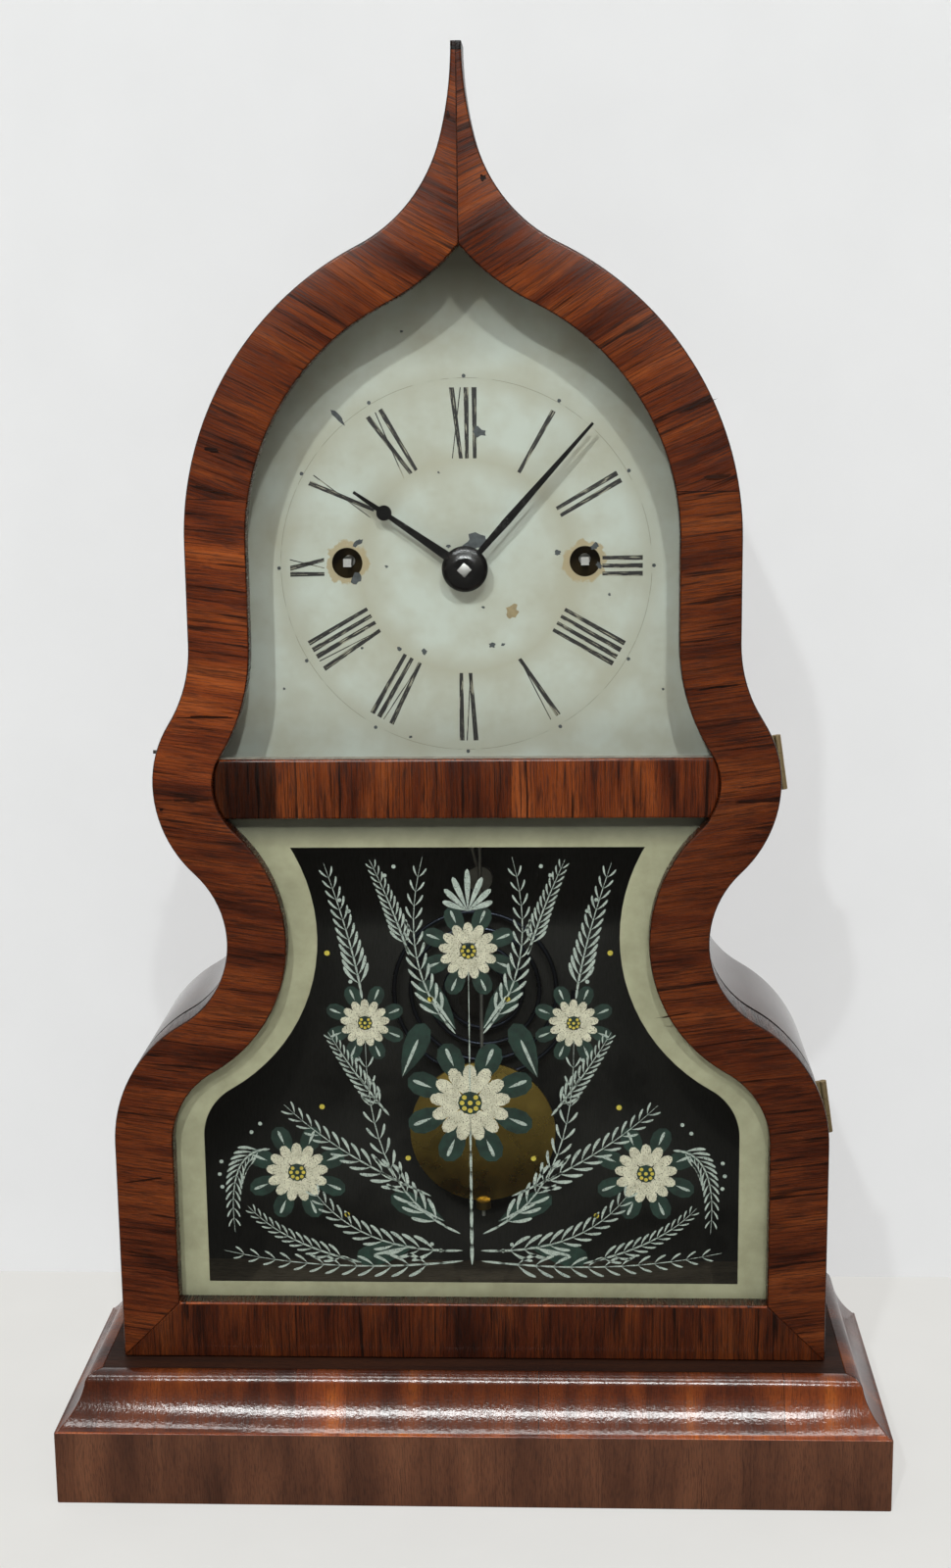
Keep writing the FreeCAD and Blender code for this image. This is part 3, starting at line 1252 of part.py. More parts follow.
def escapement():
    """Makes the verge with its pallets and crutch, and the pendulum."""
    spot = SPOTS["verge"]
    wheel_spot = SPOTS["escape"]
    front = FRAME_FRONT + number("escape_plane")
    top = spot.z - wheel_spot.z + number("anchor_rise")
    clear = number("escape_radius + pallet_clearance")
    width = number("anchor_width")
    bend, pallet = number("anchor_bend"), number("pallet_bearing")
    half = [polar(wheel_spot, reach, bearing) for reach, bearing in (
        (top, UPWARD), (top, bend), (clear + width, pallet), (clear, pallet), (clear + width, bend),
        (clear + width, UPWARD))]
    other = [Vector(2 * spot.x - point.x, 0, point.z) for point in half[-2:0:-1]]
    anchor = plate_of(half + other, front, front + number("wheel_thickness"))
    wire, rod_radius = number("crutch_wire"), number("rod_radius")
    plate_back, shake = number(PLATE_BACK_BACK), number("end_shake")
    bar_front = plate_back + 2 * shake
    bar_back = bar_front + wire
    foot = spot.z - number("crutch_drop")
    gap = rod_radius + number("crutch_clearance")
    prong_back = number(PENDULUM_Y) + 2 * rod_radius
    tail = shaft(spot, (number("pivot_radius"), FRAME_BACK, bar_back))
    half_wire, reach = Vector(wire / 2, 0, wire / 2), Vector(gap + wire, 0, 0)
    low, high = Vector(spot.x, bar_front, foot), Vector(spot.x, bar_back, foot + wire)
    bar = block(Vector(spot.x - wire / 2, bar_front, foot), at_depth(spot, bar_back) + half_wire)
    cross = block(low - reach, high + reach)
    prongs = [block(Vector(x, bar_front, foot), Vector(x + wire, prong_back, foot + wire))
              for x in (spot.x - gap - wire, spot.x + gap)]
    arbor = pivots(spot, number("arbor_radius"))
    formed("verge", arbor.multiFuse([anchor, tail, bar, cross] + prongs).removeSplitter())
    bottom = f"({PIVOT_LEVEL} - suspension_below)"
    strip_front = f"({PENDULUM_Y} - suspension_width / 2)"
    size = ("suspension_strip", "suspension_width", "suspension_above + suspension_below")
    strip = box("suspension_spring", size, ("pendulum_x - suspension_strip / 2", strip_front, bottom))
    node(strip, "suspension_spring")
    bob_level = f"({PIVOT_LEVEL} - pendulum_length)"
    rod_bottom = f"({bob_level} - bob_radius - 2 * nut_height)"
    wire_rod = cylinder("rod_wire", "rod_radius", f"{bottom} - {rod_bottom}",
                        ("pendulum_x", PENDULUM_Y, rod_bottom), "z")
    clip = box("rod_clip", ("2 * rod_radius", "suspension_width", "suspension_below"),
               ("pendulum_x - rod_radius", strip_front, f"{bottom} - suspension_below"))
    node(joined("pendulum_rod", [wire_rod, clip]), "pendulum_rod")
    rise = "((bob_thickness - bob_edge) / 2)"
    dome = f"((bob_radius ^ 2 + {rise} ^ 2) / (2 * {rise}))"
    bob = turned_body("pendulum_bob", [
        ("0", f"{PENDULUM_Y} - bob_thickness / 2", dome), ("bob_radius", f"{PENDULUM_Y} - bob_edge / 2"),
        ("bob_radius", f"{PENDULUM_Y} + bob_edge / 2", dome), ("0", f"{PENDULUM_Y} + bob_thickness / 2"),
    ], "pendulum_x", bob_level)
    drill(bob, "bob_bore", [("0", PENDULUM_Y, "rod_radius + running_fit")], "XY_Plane")
    nut_level = f"({bob_level} - bob_radius - nut_height)"
    nut = cylinder("nut_blank", "nut_radius", "nut_height", ("pendulum_x", PENDULUM_Y, nut_level), "z")
    bore = cylinder("nut_bore", "rod_radius + running_fit", "nut_height",
                    ("pendulum_x", PENDULUM_Y, nut_level), "z")
    node(less("rating_nut", nut, bore), "rating_nut")


def strike_train():
    """Makes the strike wheels, the fly and the hammer."""
    second = mobile("strike_second_wheel", ("strike_second_teeth", "strike_second_module"),
                    ("great_pinion", "great_module"), (SPOTS["strike_second"], SPOTS["strike_third"]),
                    SPOTS["strike"], "second_plane", "great_plane", "great_thickness")
    back = FRAME_FRONT + number("second_plane + wheel_thickness")
    count = round(number("strike_pins"))
    pin = (number("strike_pin_radius"), back, back + number("strike_pin_length"))
    circle = number("strike_pin_circle")
    pins = [shaft(polar(SPOTS["strike_second"], circle, 360 / count * index), pin) for index in range(count)]
    second.Shape = second.Shape.multiFuse(pins)
    mobile("strike_third_wheel", ("strike_third_teeth", "strike_third_module"),
           ("strike_third_pinion", "strike_second_module"), (SPOTS["strike_third"], SPOTS["fly"]),
           SPOTS["strike_second"], "strike_third_plane", "second_plane", "wheel_thickness")
    spot = SPOTS["fly"]
    overlap, thickness = number("pinion_overlap"), number("wheel_thickness")
    leaf_front = FRAME_FRONT + number("strike_third_plane") - overlap
    leaf = pinion(spot, "fly_pinion", "strike_third_module", SPOTS["strike_third"], leaf_front,
                  leaf_front + thickness + 2 * overlap)
    vane_front = leaf_front + thickness + 3 * overlap
    half, radius = number("fly_thickness / 2"), number("fly_radius")
    vane = block(Vector(spot.x - radius, vane_front, spot.z - half),
                 Vector(spot.x + radius, FRAME_BACK - 2 * number("end_shake"), spot.z + half))
    formed("fly", pivots(spot, number("arbor_radius")).multiFuse([leaf, vane]).removeSplitter())
    spot = SPOTS["hammer"]
    gong_depth = number(GONG_Y)
    head_spot = Vector(number("hammer_head_x"), 0, number("hammer_head_level"))
    reach, wire = number("hammer_head_length / 2"), number("hammer_wire_radius")
    head = shaft(head_spot, (number("hammer_head_radius"), gong_depth - reach, gong_depth + reach))
    stem = rod(wire, at_depth(spot, gong_depth), at_depth(head_spot, gong_depth))
    tail_depth = back + wire + number("end_shake")
    tail_end = polar(spot, number("hammer_tail"), bearing_of(spot, SPOTS["strike_second"]))
    tail = rod(wire, at_depth(spot, tail_depth), at_depth(tail_end, tail_depth))
    rear = shaft(spot, (number("pivot_radius"), FRAME_BACK, gong_depth + wire))
    arbor = pivots(spot, number("arbor_radius"))
    formed("hammer", arbor.multiFuse([rear, stem, tail, head]).removeSplitter())


def least_gap(path, radius):
    """Returns the least gap that a wire along a path leaves to itself, measured on points."""
    spacing_of_points = radius
    points = path.discretize(Distance=spacing_of_points)
    apart = round(math.pi * 4 * radius / spacing_of_points)
    gaps = [first.distanceToPoint(second) for index, first in enumerate(points)
            for second in points[index + apart:]]
    return min(gaps) - 2 * radius


def gong():
    """Makes the coiled wire gong and the block that holds its inner end."""
    depth = number(GONG_Y)
    wire, bend = number("gong_wire_radius"), number("gong_bend_radius")
    middle = Vector(0, depth, number("gong_level"))
    start = middle + Vector(number("gong_block_radius"), 0, 0)
    turn_in = start + Vector(2 * wire, 0, 0)
    corner = turn_in + Vector(0, 0, bend)
    knee = corner + Vector(bend * math.sin(math.pi / 4), 0, -bend * math.cos(math.pi / 4))
    last = corner + Vector(bend, 0, 0)
    edges = [Part.makeLine(start, turn_in), Part.Arc(turn_in, knee, last).toShape()]
    side = 1
    for index in range(round(number("gong_half_turns"))):
        radius = number("gong_first_radius") + index * number("gong_step")
        center = last - Vector(side * radius, 0, 0)
        end = center - Vector(side * radius, 0, 0)
        edges.append(Part.Arc(last, center + Vector(0, 0, side * radius), end).toShape())
        last = end
        side = -side
    path = Part.Wire(edges)
    ring = Part.Wire(Part.makeCircle(wire, start, Vector(1, 0, 0)))
    coil = path.makePipeShell([ring], True, False)
    formed("gong", coil)
    print("least gap between the gong's turns", round(least_gap(path, wire), 2))
    holder = cylinder("gong_block", "gong_block_radius", "gong_setback + 2 * gong_wire_radius",
                      ("0", f"{GONG_Y} - 2 * gong_wire_radius", "gong_level"))
    node(holder, "gong_block")


base()
case()
door()
hinges()
latch()
dial()
frame()
winding("time")
winding("strike")
going_train()
motion_work()
hands()
escapement()
strike_train()
gong()

DOC.recompute()
os.makedirs("parts", exist_ok=True)
for piece in DOC.Objects:
    if any(state in ("Invalid", "Error") for state in piece.State):
        raise SystemExit(f"{piece.Label} failed: {piece.State}")
for piece in NODES:
    if piece.Shape.isNull() or not piece.Shape.isValid():
        raise SystemExit(f"{piece.Label} has no valid shape")
for piece in NODES:
    piece.Shape.exportStep(f"parts/{piece.Label}.step")
    print(piece.Label, len(piece.Shape.Solids), round(piece.Shape.Volume))
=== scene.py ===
"""Looks of the acorn clock: veneers, paint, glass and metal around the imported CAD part."""

import logging
import math
import random
from collections.abc import Callable, Sequence
from dataclasses import dataclass, field, replace
from enum import Enum

import bmesh
import bpy
from bmesh.types import BMesh
from mathutils import Matrix, Vector


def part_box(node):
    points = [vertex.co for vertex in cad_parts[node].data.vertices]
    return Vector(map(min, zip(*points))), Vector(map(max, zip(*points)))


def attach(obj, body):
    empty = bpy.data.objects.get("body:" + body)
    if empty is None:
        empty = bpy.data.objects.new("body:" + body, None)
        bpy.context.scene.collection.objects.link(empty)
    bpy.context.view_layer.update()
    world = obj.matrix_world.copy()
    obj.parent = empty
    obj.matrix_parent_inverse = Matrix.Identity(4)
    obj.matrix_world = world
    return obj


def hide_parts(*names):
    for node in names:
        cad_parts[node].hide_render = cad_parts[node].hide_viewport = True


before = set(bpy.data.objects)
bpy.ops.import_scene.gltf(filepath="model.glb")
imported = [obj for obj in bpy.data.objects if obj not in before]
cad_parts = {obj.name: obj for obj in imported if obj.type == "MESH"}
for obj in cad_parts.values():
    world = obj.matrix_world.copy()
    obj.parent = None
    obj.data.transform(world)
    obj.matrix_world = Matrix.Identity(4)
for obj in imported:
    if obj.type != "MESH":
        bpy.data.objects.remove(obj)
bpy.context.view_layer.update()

LOG = logging.getLogger("acorn_clock")
MM = 0.001
TOUCH = 0.1 * MM
GRAIN_UV = "grain"
LEAF = "leaf"
IMAGE_LONG_SIDE = 1600.0

Place = tuple[float, float]
Triple = tuple[float, float, float]
Socket = bpy.types.NodeSocket
Finish = bpy.types.Material

DOOR_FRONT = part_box("door_bottom_rail")[0].y
DOOR_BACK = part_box("door_bottom_rail")[1].y
CASE_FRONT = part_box("case_right_side")[0].y
CASE_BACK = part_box("case_right_side")[1].y
CASE_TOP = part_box("case_right_side")[1].z
BASE_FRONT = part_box("base_front_moulding")[0].y
BASE_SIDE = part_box("base_front_moulding")[1].x
DIAL_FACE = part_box("dial")[0].y
MID_RAIL_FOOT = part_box("door_mid_rail")[0].z
GLASS_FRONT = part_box("tablet_glass")[0].y
GLASS_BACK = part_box("tablet_glass")[1].y
STILE_WIDTH = 26 * MM
DIAL_CENTER = (0.0, 409.6 * MM)


def linear(code: str) -> tuple[float, float, float, float]:
    """Turns an sRGB hex colour into linear RGBA.

    Args:
        code: six hex digits.

    Returns:
        The linear colour with full alpha.
    """
    parts = [int(code[i:i + 2], 16) / 255 for i in (0, 2, 4)]
    return tuple(p / 12.92 if p <= 0.04045 else ((p + 0.055) / 1.055) ** 2.4 for p in parts) + (1.0,)


class Surface:
    """A material under construction, or the light that surrounds the studio."""

    def __init__(self, name: str, around: bool = False) -> None:
        """Starts an empty node tree.

        Args:
            name: the material's name.
            around: true for the surrounding light.
        """
        self.owner = bpy.data.worlds.new(name) if around else bpy.data.materials.new(name)
        self.owner.use_nodes = True
        self.tree = self.owner.node_tree
        self.tree.nodes.clear()
        self.output = "OutputWorld" if around else "OutputMaterial"

    def add(self, kind: str, links: dict | None = None, stops: Sequence[tuple] = (),
            **settings) -> bpy.types.Node:
        """Adds one shader node with its settings, links and ramp stops.

        Args:
            kind: the node's type without its ShaderNode prefix.
            links: input name or number to a socket or a value.
            stops: place and linear colour of each stop of a colour ramp.
            **settings: properties of the node itself.

        Returns:
            The new node.
        """
        node = self.tree.nodes.new(f"ShaderNode{kind}")
        for name, value in settings.items():
            setattr(node, name, value)
        for name, value in (links or {}).items():
            if isinstance(value, Socket):
                self.tree.links.new(value, node.inputs[name])
            else:
                node.inputs[name].default_value = value
        for number, (spot, colour) in enumerate(stops):
            ramp = node.color_ramp.elements
            stop = ramp[number] if number < 2 else ramp.new(spot)
            stop.position = spot
            stop.color = colour
        return node

    def lay(self, colour: Socket | tuple, coats: Sequence[tuple[Socket, str]]) -> Socket:
        """Lays coats of colour over one another.

        Args:
            colour: the colour under them.
            coats: mask and hex colour of each coat.

        Returns:
            The colour that shows.
        """
        for mask, tint in coats:
            colour = self.add("Mix", {0: mask, 6: colour, 7: linear(tint)}, data_type="RGBA").outputs[2]
        return colour

    def finish(self, shader: Socket) -> Finish | bpy.types.World:
        """Links a shader to the output and returns what the tree belongs to."""
        self.add(self.output, {"Surface": shader})
        return self.owner


def grey(value: float) -> tuple[float, float, float, float]:
    """Returns an even linear grey."""
    return (value, value, value, 1.0)


class Grain(Enum):
    """Where a timber's grain runs."""

    UV = "along the piece's own grain map"
    UPRIGHT = "along Z"
    ACROSS = "along X"


@dataclass(frozen=True)
class Timber:
    """A wood finish: broad tones, dark streaks and pores along the grain.

    The lengths are in metres: how long and wide the streaks are, how far they wave, and the size of the pores
    and of the polish's ripple. A span gives the noise levels that a change of tone runs between.
    """

    name: str
    tones: tuple[str, ...]
    streak: str
    run: Grain = Grain.UV
    streak_length: float = 60 * MM
    streak_width: float = 2.2 * MM
    streak_span: Place = (0.56, 0.72)
    streak_depth: float = 0.85
    band_width: float = 14 * MM
    band_span: Place = (0.3, 0.72)
    wave: float = 3 * MM
    wave_length: float = 30 * MM
    pore_length: float = 5 * MM
    pore_width: float = 0.35 * MM
    pore_tone: float = 0.55
    pore_span: Place = (0.36, 0.5)
    pore_share: float = 0.8
    pore_depth: float = 0.08 * MM
    figure_width: float = 0.0
    figure_span: Place = (0.59, 0.67)
    roughness: Place = (0.24, 0.4)
    coat: float = 0.12
    shine: float = 0.35
    ripple: float = 0.0
    ripple_depth: float = 0.16 * MM
    # Colour of the painted shade on faces inside the case, if any.
    inner_shade: str = ""
    leaf_shift: Triple = (3.7, 1.9, 0.0)

    def spots(self, surface: Surface) -> tuple[Socket, Socket | None]:
        """Adds the coordinates, x along the grain.

        Args:
            surface: the material under construction.

        Returns:
            The coordinates, and the tone of the veneer leaf where the piece has one.
        """
        if self.run is Grain.UV:
            flat = surface.add("UVMap", uv_map=GRAIN_UV).outputs["UV"]
            leaf = surface.add("Attribute", attribute_name=LEAF).outputs["Fac"]
            shifted = surface.add("VectorMath", {0: leaf, 1: self.leaf_shift, 2: flat},
                                  operation="MULTIPLY_ADD")
            return shifted.outputs[0], leaf
        turn = (0.0, math.pi / 2, 0.0) if self.run is Grain.UPRIGHT else (0.0, 0.0, 0.0)
        solid = surface.add("TexCoord").outputs["Object"]
        return surface.add("Mapping", {"Vector": solid, "Rotation": turn}).outputs[0], None

    def streaks(self, surface: Surface, spot: Socket, length: float, width: float,
                detail: float) -> Socket:
        """Adds noise drawn out along the grain.

        Args:
            surface: the material under construction.
            spot: the coordinates.
            length: how long a streak is.
            width: how wide it is.
            detail: octaves of finer noise.

        Returns:
            The noise.
        """
        drawn = surface.add("Mapping", {"Vector": spot, "Scale": (1 / length, 1 / width, 1 / width)})
        noise = surface.add("TexNoise", {"Vector": drawn.outputs[0], "Scale": 1.0, "Detail": detail,
                                         "Roughness": 0.6})
        return noise.outputs["Fac"]

    def material(self) -> Finish:
        """Builds the timber's material.

        Returns:
            The material.
        """
        surface = Surface(self.name)
        spot, leaf = self.spots(surface)
        warp = surface.add("TexNoise", {"Vector": spot, "Scale": 1 / self.wave_length, "Detail": 2.0})
        bent = surface.add("VectorMath", {0: warp.outputs["Color"], 1: (0.0, self.wave, self.wave), 2: spot},
                           operation="MULTIPLY_ADD").outputs[0]
        bands = self.streaks(surface, bent, 2 * self.streak_length, self.band_width, 3.0)
        first, last = self.band_span
        step = (last - first) / (len(self.tones) - 1)
        stops = [(first + step * place, linear(tone)) for place, tone in enumerate(self.tones)]
        colour = surface.add("ValToRGB", {"Fac": bands}, stops).outputs["Color"]
        lines = [(self.streak_length, self.streak_width, 4.0, self.streak_span)]
        if self.figure_width:
            lines.append((1.5 * self.streak_length, self.figure_width, 3.0, self.figure_span))
        for length, width, detail, span in lines:
            drawn = self.streaks(surface, bent, length, width, detail)
            dark = surface.add("ValToRGB", {"Fac": drawn},
                               list(zip(span, (grey(0), grey(self.streak_depth)))))
            colour = surface.lay(colour, [(dark.outputs["Color"], self.streak)])
        pores = self.streaks(surface, bent, self.pore_length, self.pore_width, 1.0)
        pitted = surface.add("ValToRGB", {"Fac": pores},
                             list(zip(self.pore_span, (grey(self.pore_tone), grey(1)))))
        shades = [(self.pore_share, pitted.outputs["Color"])]
        if leaf is not None:
            shades.append((1.0, leaf))
        for share, shade in shades:
            colour = surface.add("Mix", {0: share, 6: colour, 7: shade}, data_type="RGBA",
                                 blend_type="MULTIPLY").outputs[2]
        # Painted shade: every face but the outer back face is darkened, as the inside of the case lies in
        # shade.
        if self.inner_shade:
            solid = surface.add("SeparateXYZ", {0: surface.add("TexCoord").outputs["Object"]})
            inside = surface.add("MapRange", {"Value": solid.outputs["Y"], "From Min": CASE_BACK - 1.0 * MM,
                                              "From Max": CASE_BACK, "To Min": 1.0, "To Max": 0.0})
            colour = surface.lay(colour, [(inside.outputs["Result"], self.inner_shade)])
        polished, open_pore = self.roughness
        worn = surface.add("MapRange", {"Value": pores, "From Min": 0.3, "From Max": 0.6, "To Min": open_pore,
                                        "To Max": polished})
        relief = surface.add("Bump", {"Height": pores, "Strength": 0.25, "Distance": self.pore_depth})
        if self.ripple:
            uneven = surface.add("TexNoise", {"Vector": spot, "Scale": 1 / self.ripple, "Detail": 2.0})
            relief = surface.add("Bump", {"Height": uneven.outputs["Fac"], "Strength": 0.6,
                                          "Distance": self.ripple_depth, "Normal": relief.outputs[0]})
        shader = surface.add("BsdfPrincipled", {
            "Base Color": colour, "Roughness": worn.outputs["Result"], "IOR": 1.5,
            "Specular IOR Level": self.shine, "Coat Weight": self.coat, "Coat Roughness": 0.08,
            "Normal": relief.outputs[0]})
        return surface.finish(shader.outputs[0])


@dataclass(frozen=True)
class Metal:
    """A metal finish: even colour with cloudy tarnish and fine working marks."""

    name: str
    colour: str
    tarnish: str
    roughness: Place = (0.22, 0.45)
    cloud: float = 14 * MM
    scratch: float = 0.5 * MM
    scratch_run: float = 24.0
    amount: float = 0.55

    def material(self) -> Finish:
        """Builds the metal's material.

        Returns:
            The material.
        """
        surface = Surface(self.name)
        spot = surface.add("TexCoord").outputs["Object"]
        clouds = surface.add("TexNoise", {"Vector": spot, "Scale": 1 / self.cloud, "Detail": 5.0,
                                          "Roughness": 0.6})
        mask = surface.add("ValToRGB", {"Fac": clouds.outputs["Fac"]},
                           [(0.4, grey(0)), (0.7, grey(self.amount))])
        colour = surface.lay(linear(self.colour), [(mask.outputs["Color"], self.tarnish)])
        fine = 1 / self.scratch
        drawn = surface.add("Mapping", {"Vector": spot, "Scale": (fine / self.scratch_run, fine, fine)})
        marks = surface.add("TexNoise", {"Vector": drawn.outputs[0], "Scale": 1.0, "Detail": 2.0})
        low, high = self.roughness
        worn = surface.add("MapRange", {"Value": clouds.outputs["Fac"], "From Min": 0.35, "From Max": 0.7,
                                        "To Min": low, "To Max": high})
        relief = surface.add("Bump", {"Height": marks.outputs["Fac"], "Strength": 0.12,
                                      "Distance": 0.03 * MM})
        shader = surface.add("BsdfPrincipled", {
            "Base Color": colour, "Metallic": 1.0, "Roughness": worn.outputs["Result"],
            "Normal": relief.outputs[0]})
        return surface.finish(shader.outputs[0])


@dataclass(frozen=True)
class Lacquer:
    """Black lacquer over steel: deep black, glossy, thin and greyer where it is rubbed."""

    name: str = "black lacquer on steel"
    colour: str = "0d0d0e"
    rubbed: str = "1d1c1b"
    patch: float = 5 * MM

    def material(self) -> Finish:
        """Builds the lacquer's material.

        Returns:
            The material.
        """
        surface = Surface(self.name)
        spot = surface.add("TexCoord").outputs["Object"]
        patches = surface.add("TexNoise", {"Vector": spot, "Scale": 1 / self.patch, "Detail": 4.0})
        mask = surface.add("ValToRGB", {"Fac": patches.outputs["Fac"]}, [(0.45, grey(0)), (0.75, grey(1))])
        colour = surface.lay(linear(self.colour), [(mask.outputs["Color"], self.rubbed)])
        worn = surface.add("MapRange", {"Value": patches.outputs["Fac"], "From Min": 0.3, "From Max": 0.7,
                                        "To Min": 0.14, "To Max": 0.3})
        shader = surface.add("BsdfPrincipled", {"Base Color": colour, "Roughness": worn.outputs["Result"],
                                                "IOR": 1.5})
        return surface.finish(shader.outputs[0])


@dataclass(frozen=True)
class Paint:
    """Old hand-laid oil paint: brush marks, a second tone in clouds, and places rubbed through.

    Painted shade can darken the paint upwards between two levels.
    """

    name: str
    colour: str
    second: str
    cloud: float = 9 * MM
    brush: float = 0.6 * MM
    rubbed: float = 0.0
    under: str = "15120f"
    shade_levels: Place | None = None
    roughness: float = 0.5

    def material(self) -> Finish:
        """Builds the paint's material.

        Returns:
            The material.
        """
        surface = Surface(self.name)
        spot = surface.add("TexCoord").outputs["Object"]
        clouds = surface.add("TexNoise", {"Vector": spot, "Scale": 1 / self.cloud, "Detail": 5.0,
                                          "Roughness": 0.65})
        mask = surface.add("ValToRGB", {"Fac": clouds.outputs["Fac"]}, [(0.36, grey(0)), (0.66, grey(1))])
        coats = [(mask.outputs["Color"], self.second)]
        strokes = surface.add("TexNoise", {"Vector": spot, "Scale": 1 / self.brush, "Detail": 3.0})
        if self.rubbed:
            edge = 0.62 - 0.3 * self.rubbed
            bare = surface.add("ValToRGB", {"Fac": strokes.outputs["Fac"]},
                               [(edge, grey(0)), (edge + 0.08, grey(1))])
            coats.append((bare.outputs["Color"], self.under))
        # Painted shade: darker upwards between the two levels, in the under colour.
        if self.shade_levels:
            height = surface.add("SeparateXYZ", {"Vector": spot})
            shade_mask = surface.add("MapRange", {"Value": height.outputs["Z"], "From Min": self.shade_levels[0],
                                             "From Max": self.shade_levels[1], "To Min": 0.0, "To Max": 0.85})
            coats.append((shade_mask.outputs["Result"], self.under))
        colour = surface.lay(linear(self.colour), coats)
        relief = surface.add("Bump", {"Height": strokes.outputs["Fac"], "Strength": 0.2,
                                      "Distance": 0.05 * MM})
        shader = surface.add("BsdfPrincipled", {"Base Color": colour, "Roughness": self.roughness, "IOR": 1.5,
                                                "Normal": relief.outputs[0]})
        return surface.finish(shader.outputs[0])


@dataclass(frozen=True)
class InkPaint:
    """Black numeral paint on the dial: thin, and streaked along each stroke where it has worn."""

    name: str = "worn black numeral paint"
    colour: str = "15110d"
    bare: str = "a9a690"
    length: float = 9 * MM
    width: float = 0.5 * MM
    wear: float = 0.57

    def material(self) -> Finish:
        """Builds the numeral paint's material.

        Returns:
            The material.
        """
        surface = Surface(self.name)
        spot = surface.add("UVMap", uv_map=GRAIN_UV).outputs["UV"]
        drawn = surface.add("Mapping", {"Vector": spot, "Scale": (1 / self.width, 1 / self.length, 1.0)})
        streaks = surface.add("TexNoise", {"Vector": drawn.outputs[0], "Scale": 1.0, "Detail": 3.0,
                                           "Roughness": 0.6})
        edge = 0.74 - 0.3 * self.wear
        mask = surface.add("ValToRGB", {"Fac": streaks.outputs["Fac"]},
                           [(edge, grey(0)), (edge + 0.05, grey(0.9))])
        colour = surface.lay(linear(self.colour), [(mask.outputs["Color"], self.bare)])
        shader = surface.add("BsdfPrincipled", {"Base Color": colour, "Roughness": 0.55, "IOR": 1.5})
        return surface.finish(shader.outputs[0])


